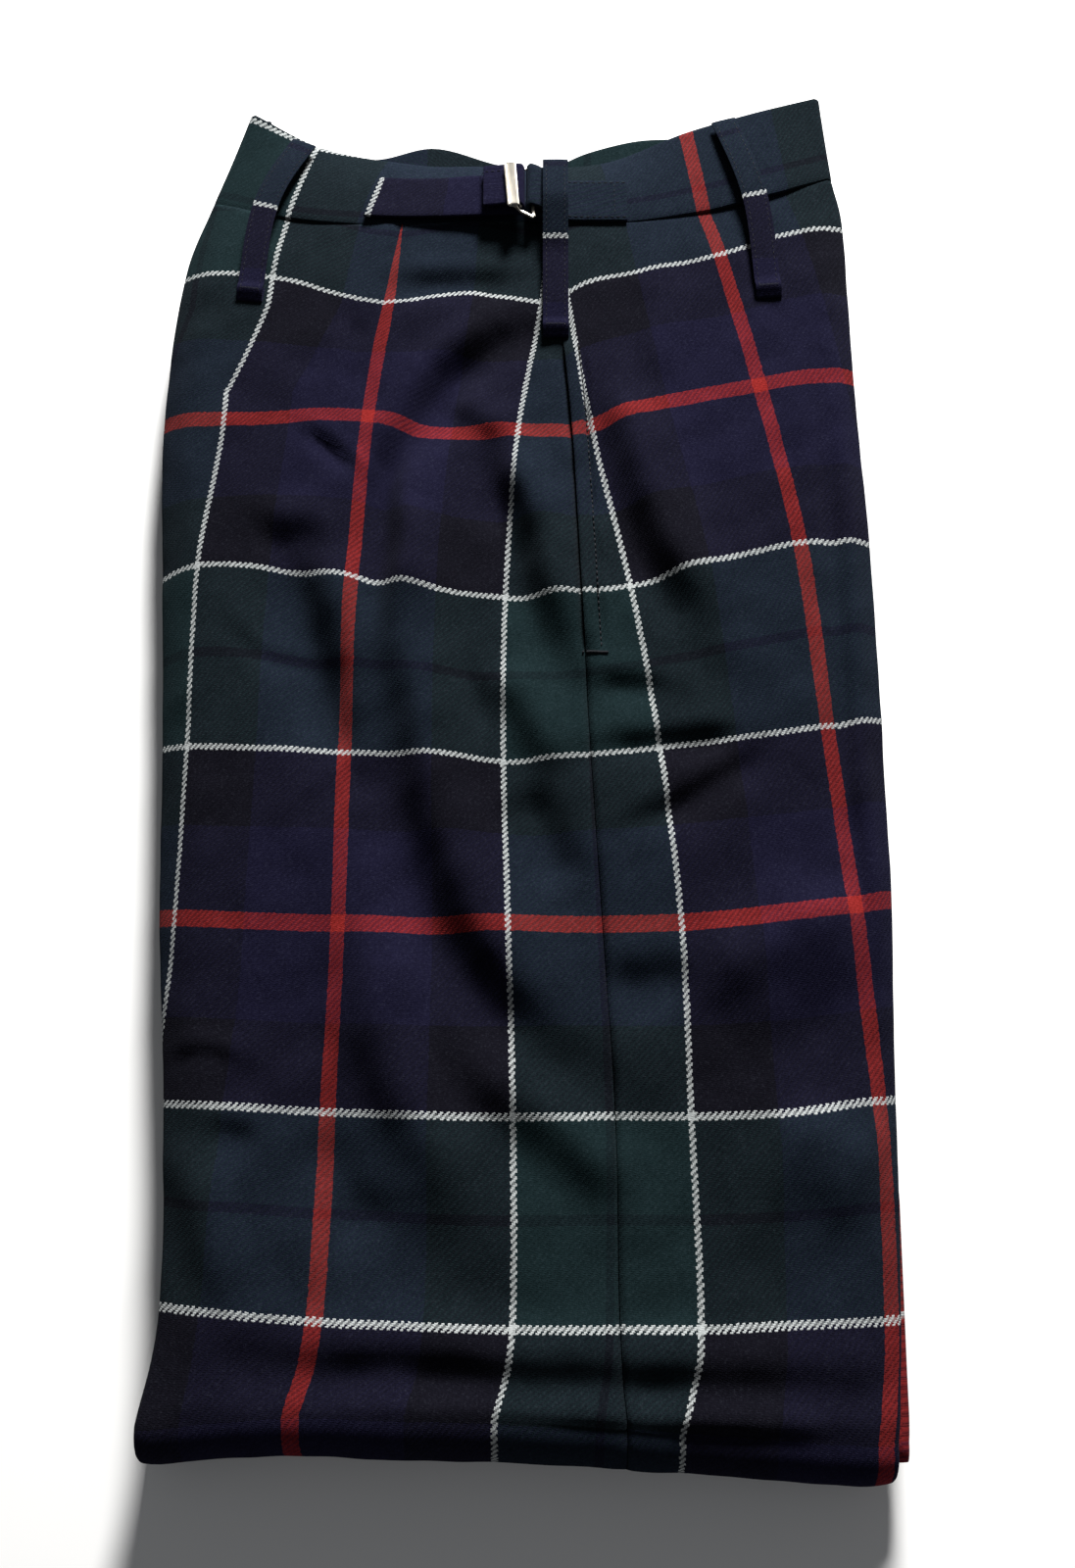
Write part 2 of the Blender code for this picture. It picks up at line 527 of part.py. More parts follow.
def make_buckle():
    """A slide of three bars: one over the strap's end, one inside its bend, one inside the tab's bend."""
    y, _ = strap_middle(BAR_X)
    slope = strap_slope(BAR_X)
    inside_bend = strap_bed(BAR_X) + BEND
    middle = (FRAME_LEFT_X + FRAME_RIGHT_X) / 2
    turns = np.linspace(0, 2 * math.pi, ROUND_STEPS + 1)[:-1]
    sections = []
    for x, off in frame_corners():
        rise = np.clip((FRAME_RISE_X - x) / (FRAME_RISE_X - FRAME_LEFT_X), 0, 1)
        height = inside_bend + (FRAME_RAISED - BEND) * rise * rise * (3 - 2 * rise) + slope * off
        on_long_side = abs(off) < FRAME_HALF_LENGTH - FRAME_CORNER / 2
        wide = BAR_WIDE if on_long_side and x < middle else SIDE_WIDE
        outward = (np.sign(x - middle), 0.0) if on_long_side else (0.0, np.sign(off))
        sections.append(np.array([
            (x + outward[0] * wide / 2 * math.cos(a), y + off + outward[1] * wide / 2 * math.cos(a),
             height + FRAME_THICK / 2 * math.sin(a)) for a in turns]))
    ring_through("buckle_frame", sections, NICKEL)
    reach = FRAME_HALF_LENGTH - SIDE_WIDE / 2 - GAP - STRAP_ROOM
    sections = [np.array([(BAR_X + BAR_RADIUS * math.cos(a), y + off,
                           inside_bend + slope * off + BAR_RADIUS * math.sin(a)) for a in turns])
                for off in (-reach, reach)]
    solid_through("buckle_bar", sections, NICKEL)


def main():
    for old in list(bpy.data.objects):
        bpy.data.objects.remove(old, do_unlink=True)
    collection = bpy.data.collections.new("tartan_trews")
    bpy.context.scene.collection.children.link(collection)
    make_panels()
    make_inner_layers()
    make_waistband()
    make_belt_loops()
    make_adjuster()


if __name__ == "__main__":
    main()
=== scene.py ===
"""Tartan trews, folded: fine cloth, tartan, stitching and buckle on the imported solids.

Laid millimetres are used for shapes, as in the part's source: x from the back to the front, y from the
fold across the legs to the waist, z up from the surface. LAID turns them into the frame's metres.
"""
import math
from collections import namedtuple

import bpy
import numpy as np
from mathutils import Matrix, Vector
from mathutils.bvhtree import BVHTree


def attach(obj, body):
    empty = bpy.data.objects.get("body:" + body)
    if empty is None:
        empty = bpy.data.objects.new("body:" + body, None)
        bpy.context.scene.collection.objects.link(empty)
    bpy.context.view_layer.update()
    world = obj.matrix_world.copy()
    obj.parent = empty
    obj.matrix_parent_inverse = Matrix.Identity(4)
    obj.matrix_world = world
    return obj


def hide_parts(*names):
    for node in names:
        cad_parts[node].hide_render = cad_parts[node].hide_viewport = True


bl_info = {
    "name": "Folded tartan trews",
    "version": (1, 0, 0),
    "blender": (4, 5, 0),
    "location": "View3D > Sidebar > Trews",
    "description": "Dresses the folded trews' solids with woven cloth, seams, stitches and a buckle",
    "category": "Object",
}

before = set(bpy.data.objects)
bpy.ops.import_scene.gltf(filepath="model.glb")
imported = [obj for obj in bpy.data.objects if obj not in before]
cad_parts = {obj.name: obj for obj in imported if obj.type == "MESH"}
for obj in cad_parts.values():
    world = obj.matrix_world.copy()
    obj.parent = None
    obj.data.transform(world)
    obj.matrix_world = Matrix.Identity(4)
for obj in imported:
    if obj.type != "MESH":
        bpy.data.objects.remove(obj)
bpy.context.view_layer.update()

UP = np.array([0.0, 0.0, 1.0])

# Driving sizes, in laid millimetres
MM = 0.001
CENTRE = (-11.45, 39.85)
GAP = 0.3
CLOTH = 1.5
BAND_CLOTH = 2.4
STRAP_CLOTH = 1.4
CREASE = 3.0
TURNED_IN = 7.0
LINE_SPACING = 76.0          # from one fine coloured line of the cloth to the next
WHITE_JAG, WHITE_BLEND = 0.36, 0.24   # how a white float stands out where it is on top of the others
FIBRE_FROM, FIBRE_GAIN = 0.56, 6.0    # how much of the fibre noise shows as pale fibres, and how sharply
THREAD_ROUND, FIBRE_HEIGHT = 0.8, 0.7
HEM_Y = 262.0
BAND_ROLL = 2.4              # how late the waistband's face turns up to its top edge
BAND_RISE = 0.3
BAND_LAP = 0.6               # the waistband comes down over the panels' top edges by this much
BAND_STEPS, BAND_COLUMN_STEPS = 19, (12, 15, 13, 13)
BAND_SEAM, BAND_SEAM_SHARE = 0.2, 0.035   # depth of the line at its seam, and its width in the band's depth
BAND_PUCKER, PUCKERS_AT, PUCKERS_REACH, PUCKER_LENGTH = 0.5, -30, 42.0, 6.5
BAND_ROUNDED = 0.7
FAR_BAND_COLUMN_STEPS = (4, 7, 7, 8, 8, 5, 7, 7, 7, 8, 5, 4)
FAR_BAND_DEPTH, FAR_BAND_V, FAR_BAND_U, FAR_BAND_U_SHARE = 46.0, 6.0, 60.0, 0.9
AT_SEAM = 0.3                # share of the folds' height at the waistband's seam
EDGE_DROP = 20.0             # the cloth falls towards a crease over this width
DROP_POWER = 2.0
SEAM_SINKS, TOP_SINKS, SEAM_REACH = 0.5, 0.3, 1.2

# Cloth that shows: a row for each coloured line across it. v counts down from the waistband's top edge
# and u across from the line beside the side seam, both in millimetres of flat cloth. A place is (x, y, u),
# or (x, y) where u is the same for the whole column. Left of the dart, u leaves out what the dart takes in.
Row = namedtuple("Row", "v flat_z edge_z side line middle next_line outer crease steps")
BACK_ROWS = (
    Row((30, 30, 36, 31, 42, 34), 27, 25, (8, 279, 2.5), (6.6, 279), (-31, 279), (-66, 278, -75),
        (-119, 281, -128), (-157, 291, -168), 18),
    Row(76, 28.5, 21.5, (10, 233, 7.8), (2.4, 232.7), (-33, 239), (-73, 233, -79.3),
        (-125.6, 246.6, -132), (-169, 249.2, -177), 29),
    Row(152, 28.3, 20.5, (15.6, 166, 24.1), (-8.3, 164.4), (-42, 165.5), (-82.4, 173.2, -82),
        (-142.5, 170.9, -152), (-173, 171.5, -184), 29),
    Row(228, 28.3, 20, (19.4, 85, 33.0), (-13.6, 84.1), (-47, 86.5), (-86.6, 94, -82),
        (-149.7, 99, -152), (-168, 95, -173), 29),
    Row(304, 28.3, 20, (22.7, 12.2, 36.6), (-13.9, 8.9), (-47, 11.5), (-87.3, 14, -82),
        (-148.8, 15.7, -152), (-162, 16.2, -168), 29),
    Row(380, 28.1, 20.5, (26.7, -60.8, 38.1), (-11.4, -60.8), (-46, -61), (-86.6, -60.3, -82),
        (-149.2, -57.8, -152), (-157.5, -57.4, -163), 29),
    Row(456, 28.1, 21.5, (30.7, -136.7, 39.8), (-9.1, -137.2), (-46, -136.5), (-88.5, -135, -82),
        (-122, -133, -115.5), (-150, -132, -146), 29),
    Row(532, 30.8, 25.5, (31.1, -214.3, 41.6), (-9, -214.3), (-46, -213), (-89.8, -211.2, -82),
        (-118, -209, -108), (-145, -207, -137), 13),
    Row(565, 32, 29, (33.2, -248, 47.5), (-15.3, -244.5), (-52, -243.5), (-96.5, -243, -82),
        (-122, -245, -107.5), (-150, -248, -137), 0),
)
FRONT_ROWS = (
    Row((30, 31, 45, 49, 51, 47), 27, 26, (8, 279, -5), (10.8, 279), (46, 279.5), (80, 284.5, 76),
        (112, 293, 109.5), (143, 305, 143), 18),
    Row(76, 28.5, 22.5, (10, 233, -5.6), (14.4, 238), (51, 250), (87, 258.7, 76),
        (115.5, 269, 106.5), (147.5, 276.4, 138.5), 29),
    Row(152, 28.3, 21, (15.6, 166, -9.7), (25.3, 168.4), (64, 180.5), (102.9, 188.9, 76),
        (124, 193, 97.5), (148, 196.2, 123), 29),
    Row(228, 28.3, 20, (19.4, 85, -22.0), (41.6, 89.7), (80, 100.5), (117.2, 110.0, 76),
        (131.4, 111.4, 90), (150, 112.3, 110), 29),
    Row(304, 28.3, 20, (22.7, 12.2, -30), (52.7, 15.9), (89, 20), (124.6, 25.0, 76),
        (136, 27.0, 87), (149.5, 28.9, 102), 29),
    Row(380, 28.1, 20, (26.7, -60.8, -33), (59.6, -60), (95, -57), (131.2, -52.6, 76),
        (139, -51.2, 83.5), (148, -49.5, 94), 29),
    Row(456, 28.1, 20.5, (30.7, -136.7, -30.5), (61.2, -136.9), (99, -135.5), (136.4, -130.9, 76),
        (140.3, -130.7, 80), (144, -130.5, 85), 29),
    Row(532, 30.8, 25, (31.1, -214.3, -29), (62, -214.3), (98, -213), (135, -211.9, 76),
        (137.3, -211.9, 78.4), (139, -211.9, 80.5), 13),
    Row(567, 32, 29, (33.2, -248, -24), (54, -250), (93, -253), (129, -255, 76),
        (131.8, -255, 78.9), (134, -255, 81), 0),
)
COLUMN_STEPS = (10, 14, 16, 14, 9)    # points between two marks of a row
FOLD_STEPS = 20
UNDERSIDE_STEPS = 44
TURN_STEPS = 8
Hem = namedtuple("Hem", "side_x crease_x side_u crease_u")
BACK_HEM = Hem(6, -124, 40, -90)
FRONT_HEM = Hem(6, 108, -26, 76)

DART = ((186, -83.5, 0), (205, -78.4, 9), (232, -73.2, 20), (279, -66, 24))   # y, x, width taken in
DART_SEAM, DART_SWELL, DART_SWELL_IN = (1.2, 1.1), (0.6, 5.0), 5.0   # each (depth or height, width)
TOP_SIDE_Z = 9.0             # cloth above this height is on the upper side

# A half of the right waistband: its top edge and the seam under it as (x, y, z), then the cloth's u at
# both and its v at both.
Band = namedtuple("Band", "side top seam u v")
BANDS = {
    "back": Band(-1, ((8, 320, 15), (-25, 319.5, 15.5), (-72, 320.5, 18), (-107, 325, 23), (-141, 341, 28)),
                 ((8, 279, 27), (-25, 279, 26), (-67, 278, 26), (-116, 280, 28), (-157, 291, 25)),
                 ((-96, -101, -117, -152, -188), (-92, -97, -103, -149, -191)),
                 ((6, 5, 1.5, -2.0, -3.5), (42, 42, 42, 42, 42))),
    "front": Band(1, ((8, 319, 15), (34, 321, 17), (73, 331, 26), (104, 340, 28), (139, 350, 28)),
                  ((8, 279, 27), (42, 279, 27), (78, 284, 28), (112, 293, 29), (143, 305, 26)),
                  ((11, 37, 76, 107, 141), (4, 38, 74, 108, 140)),
                  ((5, 5, 5, 5, 5), (49, 49, 49, 49, 49))),
}
FAR_BAND_SEAM = ((-149, 293, 13), (-138, 292, 11), (-110, 292, 8), (-80, 294, 6), (-48, 295, 5),
                 (-18, 296, 5), (1, 296, 5), (26, 297, 5), (50, 298, 6), (76, 299, 6), (110, 302, 9),
                 (125, 303, 11), (136, 304, 13))
FAR_BAND_TOP = ((-136, 338, 18), (-126, 335, 14), (-104, 329, 9), (-80, 330, 7), (-54, 337.5, 6),
                (-18, 328, 5), (1, 325, 5), (26, 335, 6), (50, 341, 7), (76, 341, 9), (106, 343, 12),
                (122, 345, 14.5), (133, 346.5, 17.5))

# Soft folds: each runs along a smooth path, a ridge where its height is above zero and a trough where it
# is below. It fades over one width on the left of the run and another on the right, seen from above. On
# the right it is undercut: it falls more steeply and a little past the level of the cloth beside it.
Fold = namedtuple("Fold", "path left right height")
FOLDS = {name: Fold(*values) for name, values in {
    "hip_trough": (((3, 217), (-13, 213), (-30, 202), (-43, 187), (-54, 169), (-62, 149), (-65, 130),
                        (-68, 108)), 13, 12, -6.4),
    "hip_ridge": (((-38, 188), (-26, 174), (-12, 164)), 8, 8, 2.0),
    "hip_fall": (((-56, 168), (-58, 129), (-56, 110), (-58, 93), (-61, 66)), 15, 12, 8.6),
    "long_ridge": (((-58, 108), (-58, 84), (-56, 64), (-48, 30), (-44, 4), (-36, -25), (-26, -50),
                    (-14, -71), (1, -88), (16, -101), (36, -115)), 19, 17, 7.6),
    "long_shoulder": (((-88, 112), (-84, 84), (-77, 62), (-66, 44)), 11, 14, 3.0),
    "long_trough": (((-96, 30), (-72, 4), (-60, -26), (-50, -55), (-38, -79), (-25, -98)), 12, 13, -1.2),
    "second_ridge": (((-14, 172), (-9, 148), (-2, 129), (4, 110), (7, 92), (14, 73), (22, 57)), 14, 13, 8.0),
    "second_foot": (((-18, 55), (-4, 33), (11, 4)), 12, 13, 4.6),
    "pocket_ridge": (((36, 198), (44, 160), (52, 128), (63, 104), (80, 68)), 18, 14, 7.2),
    "pocket_slant": (((105, 22), (92, 10), (75, -1), (56, -12), (31, -22)), 8, 8, -3.0),
    "low_ridge": (((-74, -52), (-66, -76), (-61, -105), (-53, -124), (-44, -138),
                   (-38, -158), (-31, -168), (-18, -178)), 16, 21, 7.6),
    "low_seam_ridge": (((-33, -98), (-21, -114), (-4, -129), (12, -142), (25, -156), (38, -174)),
                       13, 16, 4.6),
    "strap_trough": (((-6, 244), (-41, 244), (-69, 242)), 8, 8, -2.8),
    "left_crease": (((-80, 141), (-92, 155), (-109, 169)), 5, 5, -2.4),
    "left_curve": (((-90, 52), (-123, 59), (-144, 82)), 5, 5, -1.2),
    "left_hollow": (((-92, 112), (-124, 110)), 12, 12, -3.2),
    "left_low_ridge": (((-141, -143), (-127, -177), (-113, -209)), 13, 13, 3.6),
    "left_arch": (((-150, -111), (-132, -107), (-116, -113)), 5, 5, 1.4),
    "left_low_hollow": (((-110, -147), (-134, -141)), 8, 8, -1.7),
    "front_groove": (((132, -110), (133, -58), (131, 0), (132, 88), (131, 205)), 6, 7, -3.4),
    "front_fall": (((58, -90), (84, -73), (110, -59), (138, -48)), 14, 34, 6.0),
    "front_low_fall": (((88, -140), (112, -148), (138, -160)), 16, 38, 5.6),
    "fold_ridge": (((-128, -213), (-84, -217), (-40, -218), (-11, -221), (64, -223), (141, -224)),
                   10, 12, 4.0),
    "fold_low_ridge": (((-128, -241), (-11, -242), (60, -244), (141, -246)), 8, 8, 4.2),
    "foot_pucker": (((60, 40), (42, 42), (24, 43)), 7, 8, -2.4),
    "foot_low_pucker": (((92, 20), (56, 17), (26, 14)), 7, 8, -3.2),
    "dart_hollow": (((-84, 228), (-86, 182)), 6, 6, -1.8),
    "panel_stripe": (((54, 259), (58, 187)), 12, 12, 2.0),
    "seam_hollow": (((14, -48), (4, -26), (-6, 0)), 13, 13, -5.0),
    "left_fall": (((-83, 4), (-91, 30), (-97, 52), (-104, 76), (-112, 98), (-123, 114)), 16, 14, -7.0),
    "low_hollow": (((-56, -186), (-77, -163), (-90, -138)), 14, 14, -3.4),
    "thin_pucker": (((-22, 20), (-30, 53)), 4, 5, -1.4),
    "knee_hollow": (((66, -84), (24, -88)), 13, 14, -3.4),
}.items()}
FOLD_PIECES = 14
FOLD_FADE, FOLD_END = 0.3, 0.2     # it sinks over this share of its length to this share of its height
UNDERCUT = 1.5
UNEVEN, UNEVEN_WAVES = 0.003, 18   # rise of a wave for each millimetre of its length, and how many cross
UNEVEN_LENGTHS, SEED = (15, 40), 11

POCKET_TOP_Y, POCKET_FOOT_Y = 214.0, 58.0
POCKET_LIP, POCKET_LIP_WIDTH, POCKET_END = 1.6, 12.0, 8.0
POCKET_DROP, POCKET_DROP_WIDTH = 0.9, 3.0
POCKET_GROOVE, POCKET_GROOVE_WIDTH = 3.0, 1.0
POCKET_GAPE, POCKET_GAPE_WIDTH = 0.12, 4.0   # each edge of the mouth stands back from the other by this much
POCKET_STITCH_IN = 7.2        # topstitching this far in from the pocket's edge

LEFT_LEG_EDGE = ((-262, 139.3), (-249, 141.0), (-214, 142.6), (-167, 144.5), (-130, 143.3))
LEG_GAP = 0.4
UNDER_WALL = CLOTH + GAP + 1.6     # the hidden layers' body lies this far inside the panels' outer faces
HIDDEN_STEPS = (4, 10, 11, 10, 6)
HIDDEN_IN = 11.5                   # its faces end this far inside the creases,
FLOOR_IN, FLOOR_POINTS = 12.7, 13  # and its floor this far
HIDDEN_PEEK = -0.5                 # a crease of the left leg stands this far out where it doesn't show
CREASE_POINTS, CREASE_ROUND, CREASE_SHARPNESS = 9, 3.4, 0.9
CREASE_PRESSED, CLEFT_IN = 0.97, 8.0   # the two creases press on each other, with a cleft between them
FOLD_TURN, FOLD_TURNS = 76, 12     # its layers end this far round the fold, in so many steps
WAIST_END_IN, WAIST_END_V, WAIST_END_FLAT = 4.0, 18.0, 0.13
FOLD_Y, CREASES_AT_FOLD = -246.0, (-150.0, 134.0)
SEAM_JUMP, LEFT_LEG_SHIFT = 0.1, 5   # its cloth goes over from the back's count to the front's, and on

LOOP_WIDTH, LOOP_CLOTH, LOOP_LIFT = 12.0, 1.8, 2.8
LOOP_FOOT, LOOP_STEPS = 7.0, 48
LOOP_DIP = 2.5               # its foot is pressed down by this much where it is sewn
LOOP_LIFT_POWER = 0.8        # its rise comes a little before its middle
LOOP_TURN_OVER = 2.0         # the length over which the turned-under end comes in below it
LOOP_COLUMNS, LOOP_CROWN, LOOP_STITCHES_AT, LOOP_ROUNDED = 9, 0.25, 0.72, 0.35
LOOP_HELD_UP, LOOP_SMOOTHED = 9, 13   # points over which it bridges dips, and over which it is smoothed
LOOP_TURN_STEPS, LOOP_TURN_V = 5, (1, 2, 3, 4, 5, 8, 12)
LOOP_TACK_IN, LOOP_TACK_SHORT, LOOP_TACK_WIDTH = 4.0, 3.5, 1.4
LAID_FIRST = ("right_back", "right_front", "right_band_back", "right_band_front")
Loop = namedtuple("Loop", "name top middle foot mark_at warp_u")
BELT_LOOPS = (
    Loop("belt_loop_back", (-113.5, 323), (-128.5, 287), (-135, 234), 0.47, 122),
    Loop("belt_loop_side", (8.5, 306), (8.5, 268), (8.5, 215), 0.457, 130),
    Loop("belt_loop_front", (90.5, 334), (103.5, 288), (108.5, 236), 0.475, 126),
)

STRAP_WIDTH = 23.0
STRAP_ASLANT = -3.4
STRAP_SKEW = 1.5             # its upper run lies this much above its middle, and its lower run below
STRAP_LIFTS_FLAT = 0.75      # how far the slide lifts it out of the waistband's slope
STRAP_Y = (292.0, 290.5)
STRAP_SEWN_X, STRAP_BEND_X, STRAP_TAIL_X = -80.0, -6.0, -26.0
STRAP_BOW, STRAP_ROOM = 5.5, 0.8
STRAP_BOW_SHARE, STRAP_BOW_POWER = 1.1, 1.5   # how soon along the strap its bow is full, and how it rises
TAB_SEWN_X, TAB_BEND_X, TAB_INNER_X = 43.0, -5.4, 4.5
BOW_ENDS = (-5.0, 9.0)        # between these places the tab comes down to the waistband,
TAB_COMES_DOWN = (0.0, 18.0)  # and its two layers come together
STRIP_UNDER, STRIP_ROUND, STRIP_OVER = 30, 13, 25   # points of a strip's under layer, bend and upper layer
STRIP_COLUMNS, STRIP_CROWN, STRIP_STITCHES_AT, STRIP_ROUNDED = 13, 0.3, 0.86, 0.5
STRIP_WARP_U, TAB_V, TAB_V_SHARE = 128.0, 66.0, 0.4
STRAP_V, STRAP_V_SHOWN = LINE_SPACING - 2.5, 72.0
ASLANT_STEPS = 24
BEND = 2.5
BAR_X = -8.5
SLIDE_HALF, SLIDE_TILT, SLIDE_RAISED = 12.0, 0.08, 3.8
SLIDE_FRONT_X, SLIDE_TURN_X, SLIDE_FAR_X, SLIDE_FAR_Z = -12.3, -9.8, -3.0, -1.2
FRONT_BAR, FRONT_BAR_WIDE, FRONT_BAR_TAPER = 1.0, 1.25, 1.9
FRONT_BAR_ENDS, FRONT_BAR_RISE = (-SLIDE_HALF - 1.2, SLIDE_HALF - 0.6), 0.3
SLIDE_FAR_ENDS = {-1: -SLIDE_HALF - 3.6, 1: SLIDE_HALF}
WIRE_STARTS_IN, WIRE_TURNS_Z = 0.3, -0.4   # a side wire starts inside the front bar and turns this low
INNER_BAR, INNER_BAR_SHORT, WIRE = 0.7, 1.2, 0.6
BAR_ROUNDED = 0.75           # how far its ends are rounded, as a share of a bar's radius

Thread = namedtuple("Thread", "long pitch thick")
EDGE_THREAD = Thread(2.1, 2.9, 0.26)
# The pocket's topstitching is real thread, but it is drawn thicker and nearly unbroken so that it also paints
# the shade of the groove it lies in: painted shade.
POCKET_THREAD_AND_SHADE = Thread(2.7, 2.8, 0.85)
POCKET_TACK_LENGTH, POCKET_TACK_IN = 10.5, 4.4
TACK_SPACING, TACK_LEAN, TACK_WIDTH, TACK_RISE = 0.55, 0.25, 1.6, 0.12
# A stitch's rings from end to end: how far along it each is, how thick, and how far it lifts off the cloth.
STITCH_RINGS, STITCH_SIDES = ((0.0, 0.45, -0.6), (0.25, 1.0, 0.25), (0.75, 1.0, 0.25), (1.0, 0.45, -0.6)), 6
STRAP_SEAM_X, TAB_SEAM_X = STRAP_SEWN_X + 4.5, TAB_SEWN_X - 6.0
SEAM_ACROSS, SEAM_ACROSS_POINTS = 0.84, 24   # the seam across a strip, as a share of its width

# Camera of the photograph: its place above the laid garment, tilt, and focal length in image heights.
CAMERA_AT = (0.0, -139.61, 547.04)
CAMERA_TILT = 15.0
FOCAL_IN_HEIGHTS = 1300.0 / 1600.0
SENSOR = 36.0
# The lights, in metres in the frame: where they are, and the width of each.
WINDOW_AT, WINDOW_SIZE = (0.31, 1.78, 0.86), 0.5
FILL_AT, FILL_SIZE = (0.5, -1.1, 1.5), 1.4
LIT_AT = (0.0, 0.0, 0.02)
FLOOR_Z = -0.0003
WINDOW_TINT, FILL_TINT, ROOM_TINT = (1.0, 0.99, 0.97), (0.94, 0.97, 1.0), (0.95, 0.97, 1.0, 1.0)


made = {}    # the finished pieces by name, and what later ones need to know of them


def laid(points):
    """Points in the frame's metres, from laid millimetres."""
    return (np.asarray(points, float) - np.array([*CENTRE, 0.0])) * MM


class Value:
    """A socket in shader maths: an expression on values adds its Math nodes."""

    def __init__(self, tree, socket):
        self.tree = tree
        self.socket = socket

    def math(self, operation, *others):
        node = self.tree.nodes.new("ShaderNodeMath")
        node.operation = operation
        for slot, value in zip(node.inputs, (self, *others)):
            if isinstance(value, Value):
                self.tree.links.new(value.socket, slot)
            else:
                slot.default_value = value
        return Value(self.tree, node.outputs[0])

    def of(self, number):
        """A plain number as the first term."""
        node = self.tree.nodes.new("ShaderNodeValue")
        node.outputs[0].default_value = number
        return Value(self.tree, node.outputs[0])

    def __add__(self, other):
        return self.math("ADD", other)

    def __sub__(self, other):
        return self.math("SUBTRACT", other)

    def __mul__(self, other):
        return self.math("MULTIPLY", other)

    def __truediv__(self, other):
        return self.math("DIVIDE", other)

    def __rsub__(self, other):
        return self.of(other).math("SUBTRACT", self)

    def __lt__(self, other):
        return self.math("LESS_THAN", other)

    __radd__ = __add__
    __rmul__ = __mul__


class Shader:
    """One material's nodes, made one by one."""

    def __init__(self, name, **constants):
        self.material = bpy.data.materials.new(name)
        self.material.use_nodes = True
        self.tree = self.material.node_tree
        self.principled = self.tree.nodes["Principled BSDF"]
        for socket, value in constants.items():
            self.principled.inputs[socket.replace("_", " ")].default_value = value
        self.at_object = self.node("ShaderNodeTexCoord", out=3)

    def node(self, kind, out=0, settings=None, stops=None, **inputs):
        """Adds a node with its settings, ramp stops and inputs, and returns one of its outputs."""
        added = self.tree.nodes.new(kind)
        for key, value in (settings or {}).items():
            setattr(added, key, value)
        if stops:
            ramp = added.color_ramp
            ramp.interpolation = "CONSTANT"
            while len(ramp.elements) < len(stops):
                ramp.elements.new(1.0)
            for element, (place, colour) in zip(ramp.elements, stops):
                element.position = place
                element.color = (*colour, 1.0)
        for key, value in inputs.items():
            slot = added.inputs[int(key[1:])] if key[0] == "i" and key[1:].isdigit() else added.inputs[key]
            if isinstance(value, Value):
                self.tree.links.new(value.socket, slot)
            else:
                slot.default_value = value
        return Value(self.tree, added.outputs[out])

    def mix(self, factor, first, second):
        """A colour between two colours."""
        return self.node("ShaderNodeMix", out=2, settings={"data_type": "RGBA"}, i0=factor, i6=first,
                         i7=second)

    def noise(self, scale, detail, roughness=0.5, place=None):
        return self.node("ShaderNodeTexNoise", Vector=place or self.at_object, Scale=scale, Detail=detail,
                         Roughness=roughness)

    def feed(self, socket, value):
        self.tree.links.new(value.socket, self.principled.inputs[socket])

    def feed_bump(self, strength, distance, height):
        self.feed("Normal", self.node("ShaderNodeBump", Strength=strength, Distance=distance, Height=height))


def colour(value):
    return (*value, 1.0)


